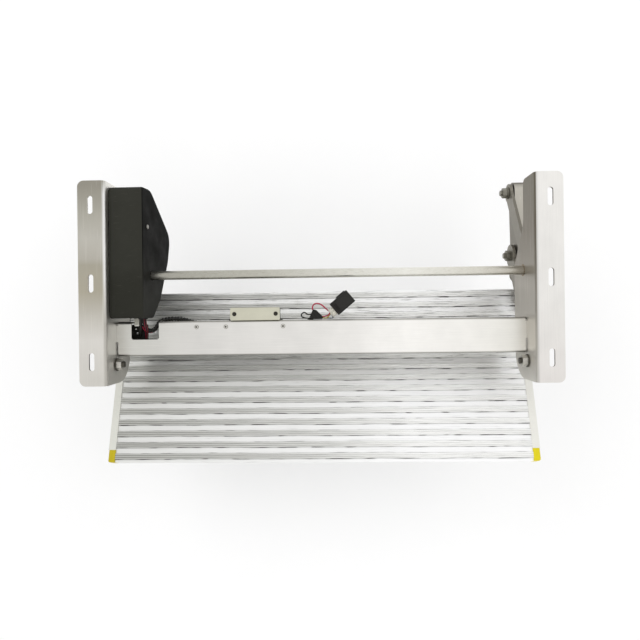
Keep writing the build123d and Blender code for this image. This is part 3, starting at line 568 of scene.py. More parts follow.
@dataclass(frozen=True)
class Moulded:
    """Moulded plastic or rubber: spark-eroded grain, faint flow clouds and worn high spots.

    The grain is drawn 0.5 to 0.9 mm wide, where a mould's is about 0.1 mm, so that it shows.
    """

    name: str
    tones: Gradient
    grain: float
    depth: float
    roughness: Range = (0.42, 0.6)
    scuff: str = "#8C8A80"
    scuffs: float = 0.0
    upright: Gradient | None = None
    gloss: float = 0.5
    level_from: float = 0.6
    edge_mm: float = 1.2
    cloud_pattern: Pattern = Pattern((22.0, 22.0, 22.0), 3.0, 6.0)
    scuff_pattern: Pattern = Pattern((14.0, 0.8, 0.8), 3.0, 8.0)

    def build(self) -> Material:
        """Make the material with its grain and its few pale scuffs.

        Returns:
            The finished material.
        """
        graph = Graph(self.name)
        grain = Pattern((self.grain,) * 3).on(graph)
        clouds = self.cloud_pattern.on(graph)
        colour = self.tones.colour(graph)
        if self.upright is not None:
            colour = graph.coat(self.upright.colour(graph), colour, graph.level() > self.level_from)
        colour = graph.tint(colour, clouds, 0.94, 1.05)
        colour = graph.tint(colour, grain, 0.96, 1.03)
        if self.scuffs:
            rubbed = graph.rise(self.scuff_pattern.on(graph), 0.64, 0.74)
            colour = graph.coat(colour, linear(self.scuff), rubbed * self.scuffs)
        return graph.finish(Base_Color=colour, Roughness=graph.vary(clouds, self.roughness),
                            Specular_IOR_Level=self.gloss,
                            Normal=graph.relief(grain, self.depth, self.edge_mm))


@dataclass(frozen=True)
class Jacket:
    """Jacket of a wire or cable: extruded soft plastic with a faint grain and dust on it."""

    name: str
    dark: str
    pale: str
    dust: float
    dust_tone: str = "#C9C3B4"
    cloud_pattern: Pattern = Pattern((4.5, 4.5, 4.5))
    grain_pattern: Pattern = Pattern((0.5, 0.5, 0.5), 2.0, 2.0)
    dust_pattern: Pattern = Pattern((1.8, 1.8, 1.8), 3.0, 5.0)

    def build(self) -> Material:
        """Make the material.

        Returns:
            The finished material.
        """
        graph = Graph(self.name)
        clouds = self.cloud_pattern.on(graph)
        colour = graph.tones(clouds, ((0.3, self.dark), (0.72, self.pale)))
        dusty = graph.rise(self.dust_pattern.on(graph), 0.55, 0.75)
        colour = graph.coat(colour, linear(self.dust_tone), dusty * self.dust)
        return graph.finish(Base_Color=colour, Roughness=graph.vary(clouds, (0.32, 0.5)),
                            Specular_IOR_Level=0.35,
                            Normal=graph.relief(self.grain_pattern.on(graph), 0.015))


@dataclass(frozen=True)
class WoundTape:
    """Cloth tape wound in overlapping turns: slanted steps every 4 mm, with painted shade and light across
    each turn, and a fine weave.
    """

    name: str
    tone: str = "#1A1917"
    turn_mm: float = 4.0
    weave: Pattern = Pattern((0.35, 0.35, 0.35), 2.0)

    def build(self) -> Material:
        """Make the material.

        Returns:
            The finished material.
        """
        graph = Graph(self.name)
        slant = graph.along(Axis.X) * 0.8 + graph.along(Axis.Y) * 0.6
        lap = (slant / (self.turn_mm * MM)).reckon("FRACT")
        weave = self.weave.on(graph)
        # Each turn is painted darker at one step and lighter towards the next, as shade and light of the
        # laps.
        return graph.finish(Base_Color=graph.tint(linear(self.tone), lap, 0.75, 1.35),
                            Roughness=graph.vary(weave, (0.5, 0.7)), Specular_IOR_Level=0.25,
                            Normal=graph.relief(lap + weave * 0.25, 0.25))


@dataclass(frozen=True)
class ClearSeal:
    """Milky silicone of the plug's seal block, which lets the wires show faintly."""

    name: str
    dark: str = "#C9C6B8"
    pale: str = "#E9E6DA"
    cloud_pattern: Pattern = Pattern((3.5, 3.5, 3.5))

    def build(self) -> Material:
        """Make the material.

        Returns:
            The finished material.
        """
        graph = Graph(self.name)
        clouds = self.cloud_pattern.on(graph)
        colour = graph.tones(clouds, ((0.3, self.dark), (0.7, self.pale)))
        return graph.finish(Base_Color=colour, Roughness=graph.vary(clouds, (0.2, 0.36)),
                            Transmission_Weight=0.45, IOR=1.46, Normal=graph.relief(clouds, 0.05))


@dataclass(frozen=True)
class CircuitLaminate:
    """Glass-fibre board: green resist over copper tracks 4 mm apart, with pale solder pads."""

    name: str
    resist: str = "#1E5A34"
    track: str = "#3C8A4E"
    solder: str = "#CFCBBB"
    cell_mm: float = 4.0

    def build(self) -> Material:
        """Make the material.

        Returns:
            The finished material.
        """
        graph = Graph(self.name)
        scale = 1 / (self.cell_mm * MM)
        scaled = graph.add("ShaderNodeMapping", {"Vector": graph.place, "Scale": (scale, scale, scale)})
        cells = graph.add("ShaderNodeTexVoronoi", {"Vector": scaled, "Scale": 1.0}, out="Distance",
                          distance="MANHATTAN")
        track = graph.rise(cells, 0.5, 0.56)
        colour = graph.coat(linear(self.resist), linear(self.track), track)
        colour = graph.coat(colour, linear(self.solder), cells < 0.16)
        return graph.finish(Base_Color=colour, Roughness=0.4, Normal=graph.relief(track, 0.04))


class Recipe(Tree):
    """Geometry Nodes tree with named sizes, which ends in plain faces with a material."""

    def __init__(self, name: str) -> None:
        """Make the tree with a geometry input and output.

        Args:
            name: Name of the tree.
        """
        super().__init__(bpy.data.node_groups.new(name, "GeometryNodeTree"))
        for way in ("INPUT", "OUTPUT"):
            self.tree.interface.new_socket("Geometry", in_out=way, socket_type="NodeSocketGeometry")
        self.start = self.tree.nodes.new("NodeGroupInput")
        self.end = self.tree.nodes.new("NodeGroupOutput")
        self.source = Value(self, self.start.outputs[0])
        self.settings: dict[str, object] = {}

    def size(self, label: str, setting: object, kind: str = "NodeSocketFloat") -> Value:
        """Add a named input.

        Args:
            label: Its name.
            setting: What the modifier sets it to.
            kind: Blender's socket type.

        Returns:
            The input as a value in the tree.
        """
        item = self.tree.interface.new_socket(label, in_out="INPUT", socket_type=kind)
        self.settings[item.identifier] = setting
        return Value(self, self.start.outputs[label])

    def run(self, base: bpy.types.Object, geometry: Value, material: Material) -> bpy.types.Object:
        """Close the tree, apply it to an object and keep the plain mesh.

        Args:
            base: Object that the tree starts from. It is removed.
            geometry: Last geometry of the tree.
            material: Material of the result.

        Returns:
            A new object with the result as its mesh.
        """
        real = self.add("GeometryNodeRealizeInstances", {0: geometry})
        dressed = self.add("GeometryNodeSetMaterial", {0: real, "Material": material})
        self.feed(self.end.inputs[0], dressed)
        modifier = base.modifiers.new("recipe", "NODES")
        modifier.node_group = self.tree
        for identifier, setting in self.settings.items():
            modifier[identifier] = setting
        shown = base.evaluated_get(bpy.context.evaluated_depsgraph_get())
        mesh = bpy.data.meshes.new_from_object(shown)
        base.modifiers.remove(modifier)
        name = base.name
        bpy.data.objects.remove(base)
        return placed(name, mesh)


def placed(name: str, mesh: bpy.types.Mesh, material: Material | None = None,
           rounded: bool = True) -> bpy.types.Object:
    """Put a mesh in the scene as a piece.

    Args:
        name: Name of the piece.
        mesh: Its mesh, already in place.
        material: Its material, or none where it has one.
        rounded: Whether its faces are shaded smooth up to its sharp edges.

    Returns:
        The object.
    """
    if material is not None:
        mesh.materials.clear()
        mesh.materials.append(material)
    piece = bpy.data.objects.new(name, mesh)
    bpy.context.scene.collection.objects.link(piece)
    if rounded:
        mesh.shade_smooth()
        mesh.set_sharp_from_angle(angle=SHARP_ANGLE)
    return piece


def vertex_piece(name: str, places: list[Vector], joined: bool = False) -> bpy.types.Object:
    """Make the points that a recipe starts from.

    Args:
        name: Name of the piece.
        places: The points, in metres.
        joined: Whether they are one open line.

    Returns:
        The object.
    """
    mesh = bpy.data.meshes.new(name)
    edges = [(n, n + 1) for n in range(len(places) - 1)] if joined else []
    mesh.from_pydata([tuple(p) for p in places], edges, [])
    return placed(name, mesh, rounded=False)


def skinned(name: str, rings: list[list[Vector]]) -> bpy.types.Mesh:
    """Close a solid over rings of points.

    Args:
        name: Name of the mesh.
        rings: Rings with as many points each, from one end to the other.

    Returns:
        The mesh.
    """
    mesh = bmesh.new()
    made = [[mesh.verts.new(point) for point in ring] for ring in rings]
    sides = len(made[0])
    for low, high in zip(made, made[1:]):
        for k in range(sides):
            mesh.faces.new((low[k], low[(k + 1) % sides], high[(k + 1) % sides], high[k]))
    mesh.faces.new(made[0])
    mesh.faces.new(made[-1])
    bmesh.ops.recalc_face_normals(mesh, faces=mesh.faces)
    data = bpy.data.meshes.new(name)
    mesh.to_mesh(data)
    mesh.free()
    return data


def frames_along(line: list[Vector]) -> list[tuple[Vector, Vector, Vector]]:
    """Carry a pair of side directions along a line without twist.

    Args:
        line: Points of the line.

    Returns:
        Point, first side and second side at each point.
    """
    found = []
    side = Vector((0.0, 0.0, 1.0))
    for n, point in enumerate(line):
        ahead = (line[min(n + 1, len(line) - 1)] - line[max(n - 1, 0)]).normalized()
        side = (side - ahead * side.dot(ahead)).normalized()
        found.append((point, side, ahead.cross(side)))
    return found


def wire(name: str, line: list[Vector], radius: float, material: Material,
         sides: int = 10) -> bpy.types.Object:
    """Make a closed round wire along a line.

    Args:
        name: Name of the piece.
        line: Points of its centre line, in metres.
        radius: Its radius in metres.
        material: Its material.
        sides: Faces round it.

    Returns:
        The object.
    """
    turns = [2 * math.pi * k / sides for k in range(sides)]
    rings = [[point + (first * math.cos(t) + second * math.sin(t)) * radius for t in turns]
             for point, first, second in frames_along(line)]
    return placed(name, skinned(name, rings), material)


def turned(name: str, outline: Outline, sides: int = 36) -> bpy.types.Mesh:
    """Turn a closed shape about Z, with hexagonal rings where its socket is.

    Args:
        name: Name of the mesh.
        outline: Radius and height in millimetres, and whether the ring is a hexagon.
        sides: Faces round it.

    Returns:
        The mesh, standing at the origin.
    """
    rings = []
    for radius, height, hexagon in outline:
        ring = []
        for k in range(sides):
            t = 2 * math.pi * k / sides
            reach = radius
            if hexagon:
                reach = radius * math.cos(math.pi / 6) / math.cos(t % (math.pi / 3) - math.pi / 6)
            ring.append(Vector((reach * math.cos(t) * MM, reach * math.sin(t) * MM, height * MM)))
        rings.append(ring)
    return skinned(name, rings)


@dataclass(frozen=True)
class MouldedBlock:
    """Housing with rounded edges, in millimetres: a box with a mouth, a sunk panel, a latch and ribs."""

    name: str
    centre: Size
    size: Size
    rounding: float
    turn: float = 0.0
    # Wall left round the mouth or the panel, and its depth.
    mouth: Range = (0.0, 0.0)
    panel: Range = (0.0, 0.0)
    # Length, rise, height and place along X of the latch on the housing's side.
    latch: tuple[float, float, float, float] = (0.0, 0.0, 0.0, 0.0)
    # What a hollow narrows by to its bottom.
    draft: float = 0.25
    ribs: int = 0
    rib_pitch: float = 1.9
    rib_width: float = 0.9
    rib_share: float = 0.6
    first_rib: float = 3.0

    def body(self) -> bpy.types.Mesh:
        """Make the rounded body about its own centre, with its mouth towards X and its panel on top.

        Returns:
            The mesh.
        """
        mesh = bmesh.new()
        bmesh.ops.create_cube(mesh, size=1.0)
        bmesh.ops.scale(mesh, vec=Vector(self.size) * MM, verts=mesh.verts)
        length, rise, height, along = self.latch
        if length:
            made = bmesh.ops.create_cube(mesh, size=1.0)["verts"]
            bmesh.ops.scale(mesh, vec=Vector((length, 2 * rise, height)) * MM, verts=made)
            bmesh.ops.translate(mesh, vec=Vector((along, self.size[1] / 2, 0.0)) * MM, verts=made)
        bmesh.ops.bevel(mesh, geom=list(mesh.edges), offset=self.rounding * MM, segments=3, affect="EDGES",
                        profile=0.5)
        for (wall, depth), side in ((self.mouth, Vector((1, 0, 0))), (self.panel, Vector((0, 0, 1)))):
            if not depth:
                continue
            face = max(mesh.faces, key=lambda f: (f.normal.dot(side) > 0.99) * f.calc_area())
            bmesh.ops.inset_region(mesh, faces=[face], thickness=wall * MM)
            bmesh.ops.inset_region(mesh, faces=[face], thickness=self.draft * MM, depth=-depth * MM)
        data = bpy.data.meshes.new(self.name)
        mesh.to_mesh(data)
        mesh.free()
        return data

    def ribbed(self, material: Material) -> bpy.types.Object:
        """Grow a row of round ribs on top of the body.

        Args:
            material: Material of the housing.

        Returns:
            The object, still about its own centre.
        """
        recipe = Recipe(self.name + "_ribs")
        length = recipe.size("Rib Length", self.size[1] * self.rib_share * MM)
        width = recipe.size("Rib Width", self.rib_width * MM)
        pitch = recipe.size("Rib Pitch", self.rib_pitch * MM)
        first = recipe.size("First Rib", (-self.size[0] / 2 + self.first_rib) * MM)
        top = recipe.size("Rib Height", self.size[2] / 2 * MM)
        row = recipe.add("GeometryNodeMeshLine", {
            "Count": self.ribs, "Start Location": recipe.add("ShaderNodeCombineXYZ", {0: first, 2: top}),
            "Offset": recipe.add("ShaderNodeCombineXYZ", {0: pitch})})
        bar = recipe.add("GeometryNodeCurvePrimitiveLine", {
            "Start": (0.0, -0.5, 0.0), "End": (0.0, 0.5, 0.0)})
        section = recipe.add("GeometryNodeCurvePrimitiveCircle", {"Resolution": 10, "Radius": 0.5})
        solid = recipe.add("GeometryNodeCurveToMesh", {0: bar, 1: section, "Fill Caps": True})
        scale = recipe.add("ShaderNodeCombineXYZ", {0: width, 1: length, 2: width})
        ribs = recipe.add("GeometryNodeInstanceOnPoints", {0: row, 2: solid, "Scale": scale})
        whole = recipe.add("GeometryNodeJoinGeometry", {0: [ribs, recipe.source]})
        return recipe.run(placed(self.name, self.body()), whole, material)

    def build(self, material: Material) -> bpy.types.Object:
        """Make the housing and put it in place.

        Args:
            material: Material of the housing.

        Returns:
            The object.
        """
        piece = self.ribbed(material) if self.ribs else placed(self.name, self.body(), material)
        spot = Matrix.Translation(Vector(self.centre) * MM)
        piece.data.transform(spot @ Matrix.Rotation(math.radians(self.turn), 4, "Z"))
        return piece


@dataclass(frozen=True)
class Finishes:
    """All materials of the step, each named for what the real one is and how its surface was made."""

    made: dict[str, Material] = field(default_factory=dict)

    def build(self) -> None:
        """Make every material once."""
        deck = TreadMetal("aluminium_extruded", rear_edge=(-7.0, -154.5), tilt=18.238, pitch=15.75, rib=8.0)
        others = [WoundTape("pvc_tape_wound"), ClearSeal("silicone_clear_moulded"),
                  CircuitLaminate("glass_epoxy_laminate")]
        for finish in self.sheets() + self.metals() + self.plastics() + self.jackets() + [deck] + others:
            self.made[finish.name] = finish.build()
            LOG.info("finish %s", finish.name)

    def sheets(self) -> list[RolledSheet]:
        """Choose the sheet metal of brackets, arms, tread sides and cross channel.

        Returns:
            Their finishes.
        """
        # Left bracket: brushed stainless, with fine lines from front to back. Its flange is painted darker
        # than the right one's as shade: a cold grey that goes warm and dull midway and darker at the back.
        # Its upright side is painted pale as light, palest towards the back under the cover. Its bend has
        # painted shade at the front and a painted highlight from midway rearwards.
        left_flat = Gradient(Axis.Y, BRACKET_Y, (
            (0.03, "#D3D0C9"), (0.22, "#D9D6D0"), (0.36, "#BFBBB1"), (0.46, "#AFA999"), (0.59, "#ABA698"),
            (0.62, "#B6B2A8"), (0.72, "#BDBAB1"), (0.84, "#B0ADA2"), (0.98, "#99958A")))
        left_side = Gradient(Axis.Y, BRACKET_Y, (
            (0.0, "#DAD7D1"), (0.3, "#DCDAD5"), (0.5, "#E6E4DE"), (1.0, "#EFEDE7")))
        left_bend_shading = Gradient(Axis.Y, BRACKET_Y, (
            (0.0, "#A5A299"), (0.3, "#A5A299"), (0.42, "#DEDCD6"), (0.52, "#FFFFFF"), (0.93, "#FFFFFF"),
            (1.0, "#A5A299")))
        # Right bracket: the same brushed stainless, with a flange painted near-white as light, a side
        # painted darker rearwards as shade, and painted shade along its bend.
        right_flat = Gradient(Axis.Y, BRACKET_Y, ((0.0, "#E5E1DD"), (0.4, "#EAE8E4"), (1.0, "#EFEDE9")))
        right_side = Gradient(Axis.Y, BRACKET_Y, (
            (0.0, "#E6E3DC"), (0.2, "#D0CCC4"), (0.41, "#B6B1A8"), (0.6, "#8F897E"), (0.74, "#7A7367"),
            (1.0, "#6C6759")))
        # Arms: pressed and zinc-plated steel, a duller grey that is partly their plating and partly painted
        # shade, darker towards the left, with painted shade along their bends.
        arm = Gradient(Axis.X, LINKAGE_X, ((0.0, "#6E6B60"), (0.5, "#7A776B"), (1.0, "#88847A")))
        # Tread sides: pressed stainless, pale and smooth beside the deck and painted darker behind it as
        # shade under the frame, with the upright walls darker still as painted shade, the left side darker
        # than the right as painted shade, and painted shade along their bends.
        rail_left = Gradient(Axis.Y, TREAD_Y, (
            (0.0, "#E3E3DB"), (0.5, "#DAD9D1"), (0.62, "#9B978D"), (1.0, "#8E8A80")))
        wall_left = Gradient(Axis.Y, TREAD_Y, (
            (0.0, "#E3E3DB"), (0.5, "#DAD9D1"), (0.6, "#7E7A71"), (1.0, "#6F6B62")))
        rail_right = Gradient(Axis.Y, TREAD_Y, (
            (0.0, "#F3F2EB"), (0.5, "#EAE9E2"), (0.62, "#A8A49A"), (0.8, "#B5B1A7"), (1.0, "#BFBBB1")))
        wall_right = Gradient(Axis.Y, TREAD_Y, (
            (0.0, "#F3F2EB"), (0.5, "#EAE9E2"), (0.6, "#7C776D"), (1.0, "#79746A")))
        # Cross channel: brushed aluminium, whiter than the stainless, with long fine lines along it. Its top
        # is painted darker near the left end as shade and lighter towards the right as light, its upright
        # web is painted darker as shade, and its bends carry painted shade.
        channel = Gradient(Axis.X, CHANNEL_X, (
            (0.0, "#D9D8D2"), (0.06, "#CFCEC8"), (0.2, "#DAD8D4"), (0.5, "#E5E3DF"), (0.68, "#F7F5F1"),
            (0.85, "#F6F4EF"), (0.97, "#ECEAE3"), (1.0, "#F0EEE8")))
        web = Gradient(Axis.X, CHANNEL_X, ((0.0, "#9A988F"), (0.5, "#B9B7B0"), (1.0, "#AFADA6")))
        return [
            RolledSheet("stainless_brushed_left", left_flat, left_side, bend_shading=left_bend_shading, bend_shading_share=0.6),
            RolledSheet("stainless_brushed_right", right_flat, right_side, shift=11.0),
            RolledSheet("steel_pressed", arm, arm, roughness=(0.34, 0.5), shift=4.0),
            RolledSheet("stainless_pressed_left", rail_left, wall_left, shift=7.0),
            RolledSheet("stainless_pressed_right", rail_right, wall_right, shift=9.0),
            RolledSheet("aluminium_brushed", channel, web, grain=Axis.X, roughness=(0.3, 0.42), shift=15.0),
        ]

    def metals(self) -> list[TurnedMetal]:
        """Choose the turned, cast, drawn and plated metals.

        Returns:
            Their finishes.
        """
        # Shaft: ground steel, rather glossy with faint lengthwise lines, painted darker towards its left end
        # as shade, with a painted highlight about two thirds of the way to the right.
        shaft = Gradient(Axis.X, SHAFT_X, (
            (0.0, "#918F87"), (0.35, "#B7B5AA"), (0.7, "#F1F0E8"), (0.86, "#DDDACF"), (1.0, "#AFA99D")))
        # Zinc plate: a soft grey sheen with a cloudy skin, painted lighter towards the right as light. The
        # screws in the channel are bright on the head and painted dark in the socket and under the rim as
        # shade. The pivot nuts are painted bright as a highlight; the pivot bolts and washers are dark,
        # which on the washers is painted shade round the nuts.
        skin = (1.2, 1.2, 1.2)
        sheen, dull = (0.3, 0.46), (0.34, 0.5)
        plated = Gradient(Axis.X, LINKAGE_X, ((0.0, "#8D8C85"), (0.5, "#A8A7A1"), (1.0, "#C3C0BA")))
        # Painted shade in the channel screws' sockets and under their rims, bright on the head.
        screw_recess_shade = Gradient(Axis.Z, (-37.0, -35.4), (
            (0.0, "#35332F"), (0.42, "#47443E"), (0.55, "#B5B3AB"), (1.0, "#D8D6CF")))
        return [
            TurnedMetal("steel_ground", "#B4B2A8", "#CFCDC4", (16.0, 0.5, 0.5), (0.22, 0.36), 0.004,
                        gradient=shaft),
            TurnedMetal("zinc_plated", "#9C9A92", "#BDBBB4", skin, sheen, spots=0.35, gradient=plated),
            # Pivot nuts: painted bright as a highlight.
            TurnedMetal("zinc_plated_bright", "#BFBDB6", "#DBD9D3", skin, sheen, spots=0.5),
            # Pivot bolts and washers: dark, which on the washers is painted shade round the nuts.
            TurnedMetal("zinc_plated_grimy", "#3F3D37", "#6B6860", skin, dull, spots=0.3),
            TurnedMetal("zinc_plated_dull", "#77746A", "#97948A", skin, dull, spots=0.4),
            TurnedMetal("zinc_plated_screw", "#B9B7AF", "#D3D1CA", skin, sheen, gradient=screw_recess_shade),
            # Cast aluminium is matt and sandy, drawn steel glossy, sintered bronze dark and porous, cut
            # brass bright and yellow, blackened steel near-black with a faint shine.
            TurnedMetal("aluminium_cast", "#8E8D88", "#A5A49E", (0.9, 0.9, 0.9), (0.45, 0.62), 0.09, 0.2),
            TurnedMetal("steel_drawn", "#7B7A75", "#94938D", (6.0, 0.4, 6.0), (0.28, 0.42)),
            TurnedMetal("bronze_sintered", "#6A5C48", "#857459", (0.6, 0.6, 0.6), (0.38, 0.52), 0.03, 0.3),
            TurnedMetal("brass_cut", "#A58445", "#C7A55C", (0.4, 0.4, 0.4), (0.25, 0.4)),
            TurnedMetal("steel_blackened", "#34332F", "#4A4842", (0.6, 0.6, 0.6), (0.36, 0.5), 0.012, 0.15),
        ]

    def plastics(self) -> list[Moulded]:
        """Choose the moulded plastics and the rubber.

        Returns:
            Their finishes.
        """
        # ABS: a coarse moulded grain, so it is matt, black on the cover and cream on the lid.
        cover = Gradient(Axis.Y, COVER_Y, (
            (0.0, "#2D2D28"), (0.53, "#2E2E29"), (0.62, "#33332E"), (1.0, "#353530")))
        # Upright faces of the cover: painted dark grey at the front and near-black towards the back, as
        # shade.
        cover_side_shade = Gradient(Axis.Y, COVER_Y, (
            (0.0, "#383834"), (0.45, "#333330"), (0.58, "#1F1F1C"), (0.7, "#0E0E0C"), (1.0, "#0A0A08")))
        lid = Gradient(Axis.X, (-118.0, -52.0), ((0.0, "#BCBAA8"), (1.0, "#C2C0AE")))
        box = Gradient(Axis.Z, (-66.0, -37.0), ((0.0, "#3A3935"), (1.0, "#45443E")))
        # Polypropylene: a waxy, saturated yellow that has worn at the corners, painted darker on the left as
        # shade and brighter on the right as light.
        caps = Gradient(Axis.X, TREAD_X, ((0.0, "#BDAB12"), (0.5, "#CDBC16"), (1.0, "#DFCF0C")))
        # Nylon: harder and a little glossier, black on the plug and the terminals, natural white on clip and
        # beads.
        natural = Gradient(Axis.Y, (-66.0, -44.0), (
            (0.0, "#FFFFFF"), (0.45, "#F4F2EA"), (0.6, "#C4C2B7"), (1.0, "#B5B3A8")))
        black = Gradient(Axis.X, (0.0, 60.0), ((0.0, "#191815"), (1.0, "#201F1C")))
        # Rubber: soft and dull.
        rubber = Gradient(Axis.Z, (-60.0, -30.0), ((0.0, "#1F1E1C"), (1.0, "#2A2926")))
        return [
            Moulded("abs_black_moulded", cover, 0.8, 0.05, (0.45, 0.62), scuffs=0.1, upright=cover_side_shade,
                    gloss=0.02),
            Moulded("abs_cream_moulded", lid, 0.9, 0.03, (0.4, 0.55), "#A6A392", 0.25),
            Moulded("abs_grey_moulded", box, 0.8, 0.04, scuffs=0.2),
            Moulded("polypropylene_yellow_moulded", caps, 0.7, 0.03, (0.32, 0.5), "#8C7F1D", 0.3, gloss=0.3),
            Moulded("nylon_natural_moulded", natural, 0.6, 0.02),
            Moulded("nylon_black_moulded", black, 0.5, 0.03, (0.34, 0.5), scuffs=0.2, gloss=0.3),
            Moulded("nylon_black_dull", black, 0.6, 0.03, (0.5, 0.65), scuffs=0.1, gloss=0.2),
            Moulded("rubber_moulded", rubber, 0.5, 0.02, (0.5, 0.68)),
        ]

    def jackets(self) -> list[Jacket]:
        """Choose the jackets of cables and wires: extruded PVC, smooth with a soft sheen and some dust.

        Returns:
            Their finishes.
        """
        return [
            Jacket("pvc_black_extruded", "#131210", "#201F1C", 0.08),
            Jacket("pvc_red_extruded", "#8A1430", "#AE2342", 0.06),
            Jacket("pvc_crimson_extruded", "#5E1022", "#86182F", 0.06),
            Jacket("pvc_dark_red_extruded", "#4A0F18", "#6A1622", 0.08),
            Jacket("pvc_yellow_extruded", "#8F8336", "#AFA257", 0.1),
            Jacket("pvc_grey_extruded", "#5E6772", "#7B8592", 0.1),
        ]


@dataclass(frozen=True)
class Wardrobe:
    """Gives each CAD node that stays its material."""

    nodes: dict[str, bpy.types.Object]
    materials: dict[str, Material]

    def dress(self, finish: str, *names: str) -> None:
        """Put a finish on CAD nodes.

        Args:
            finish: Name of the finish.
            names: CAD nodes that get it.
        """
        for name in names:
            for slot in self.nodes[name].material_slots:
                slot.material = self.materials[finish]
            LOG.info("%s wears %s", name, finish)


@dataclass(frozen=True)
class Viewpoint:
    """Camera of the photograph: above the stowed step, looking straight down."""

    place: Size = (0.022, -0.045, 0.7307)
    turn: Size = (-0.08, 1.95, -0.717)
    focal_px: float = 583.0
    frame_px: float = 640.0
    centre_px: Range = (316.1, 316.7)

    def build(self) -> None:
        """Make the camera and set it as the scene's own."""
        data = bpy.data.cameras.new("camera")
        data.sensor_width = 36.0
        data.lens = self.focal_px * data.sensor_width / self.frame_px
        data.shift_x = (self.frame_px / 2 - self.centre_px[0]) / self.frame_px
        data.shift_y = (self.centre_px[1] - self.frame_px / 2) / self.frame_px
        camera = bpy.data.objects.new("camera", data)
        camera.location = self.place
        camera.rotation_euler = [math.radians(angle) for angle in self.turn]
        bpy.context.scene.collection.objects.link(camera)
        bpy.context.scene.camera = camera


@dataclass(frozen=True)
class SoftLamp:
    """Square lamp that points at the origin. Metals don't mirror it."""

    name: str
    place: Size
    watts: float
    width: float = 1.1

    def build(self) -> None:
        """Hang the lamp."""
        data = bpy.data.lights.new(self.name, "AREA")
        data.size = self.width
        data.energy = self.watts
        lamp = bpy.data.objects.new(self.name, data)
        lamp.location = self.place
        lamp.rotation_euler = (-Vector(self.place)).to_track_quat("-Z", "Y").to_euler()
        lamp.visible_glossy = False
        bpy.context.scene.collection.objects.link(lamp)


@dataclass(frozen=True)
class Studio:
    """Plain pale floor under the step, three soft lamps and a white room."""

    floor_z: float = -0.33
    floor_half: float = 16.0
    room_level: float = 0.9
    lamps: tuple[SoftLamp, ...] = (
        SoftLamp("soft_lamp_0", (-0.9, 0.9, 1.5), 5.0), SoftLamp("soft_lamp_1", (1.0, 0.5, 1.6), 4.0),
        SoftLamp("soft_lamp_2", (0.2, -1.2, 1.6), 3.0))

    def build(self) -> None:
        """Make the floor, the room and the lamps."""
        bpy.context.scene.view_settings.view_transform = "Standard"
        self.build_floor()
        self.build_room()
        for lamp in self.lamps:
            lamp.build()

    def build_floor(self) -> None:
        """Make the pale floor, which keeps the step's shadow."""
        graph = Graph("pale_floor")
        clouds = Pattern((60.0, 60.0, 60.0), 2.0).on(graph)
        material = graph.finish(Base_Color=graph.tint(linear("#FCFCFC"), clouds, 0.995, 1.0), Roughness=0.9,
                                Specular_IOR_Level=0.0)
        reach = self.floor_half
        corners = ((-reach, -reach), (reach, -reach), (reach, reach), (-reach, reach))
        mesh = bpy.data.meshes.new("pale_floor")
        mesh.from_pydata([(x, y, self.floor_z) for x, y in corners], [], [(0, 1, 2, 3)])
        placed("pale_floor", mesh, material, rounded=False)

    def build_room(self) -> None:
        """Make the world: white where it is seen, mirrored or seen through, and a little less as light."""
        world = bpy.data.worlds.new("white_room")
        world.use_nodes = True
        room = Tree(world.node_tree)
        seen = room.add("ShaderNodeLightPath", out="Is Camera Ray")
        for ray in ("Is Glossy Ray", "Is Transmission Ray"):
            seen = seen.reckon("MAXIMUM", room.add("ShaderNodeLightPath", out=ray))
        background = world.node_tree.nodes["Background"]
        room.feed(background.inputs["Color"], (1.0, 1.0, 1.0, 1.0))
        level = room.add("ShaderNodeMapRange", {"Value": seen, "To Min": self.room_level, "To Max": 1.0})
        room.feed(background.inputs["Strength"], level)
        bpy.context.scene.world = world


def fixed(piece: bpy.types.Object, slot: str, node: str = "") -> bpy.types.Object:
    """Fix a new piece to the frame.

    Args:
        piece: The piece.
        slot: Slot of the record that it belongs to, which is only logged.
        node: CAD node whose place it takes, or none.

    Returns:
        The same piece.
    """
    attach(piece, FIXED_BODY)
    if node:
        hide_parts(node)
    LOG.info("piece %s in slot %s", piece.name, slot)
    return piece


@dataclass(frozen=True)
class Cable:
    """Cord on one smooth curve: its route and its diameter in millimetres."""

    name: str
    route: tuple[Size, ...]
    diameter: float

    def curve(self) -> bpy.types.Object:
        """Make the bare curve.

        Returns:
            The curve object.
        """
        data = bpy.data.curves.new(self.name, "CURVE")
        data.dimensions = "3D"
        data.resolution_u = 12
        spline = data.splines.new("NURBS")
        spline.points.add(len(self.route) - 1)
        for point, (x, y, z) in zip(spline.points, self.route):
            point.co = (x * MM, y * MM, z * MM, 1.0)
        spline.order_u = 3
        spline.use_endpoint_u = True
        piece = bpy.data.objects.new(self.name, data)
        bpy.context.scene.collection.objects.link(piece)
        return piece

    def build(self, material: Material) -> bpy.types.Object:
        """Make the cord with its round section.

        Args:
            material: Material of its jacket.

        Returns:
            The curve object.
        """
        piece = self.curve()
        piece.data.bevel_depth = self.diameter * MM / 2
        piece.data.bevel_resolution = 5
        piece.data.use_fill_caps = True
        piece.data.materials.append(material)
        return piece

    def line(self) -> list[Vector]:
        """Read the points of the smooth line from the bare curve.

        Returns:
            The points, in metres.
        """
        bare = self.curve()
        mesh = bpy.data.meshes.new_from_object(bare.evaluated_get(bpy.context.evaluated_depsgraph_get()))
        points = [v.co.copy() for v in mesh.vertices]
        bpy.data.objects.remove(bare)
        return points

    def start(self) -> Size:
        """Return where the cord leaves, in metres."""
        x, y, z = self.route[0]
        return (x * MM, y * MM, z * MM)


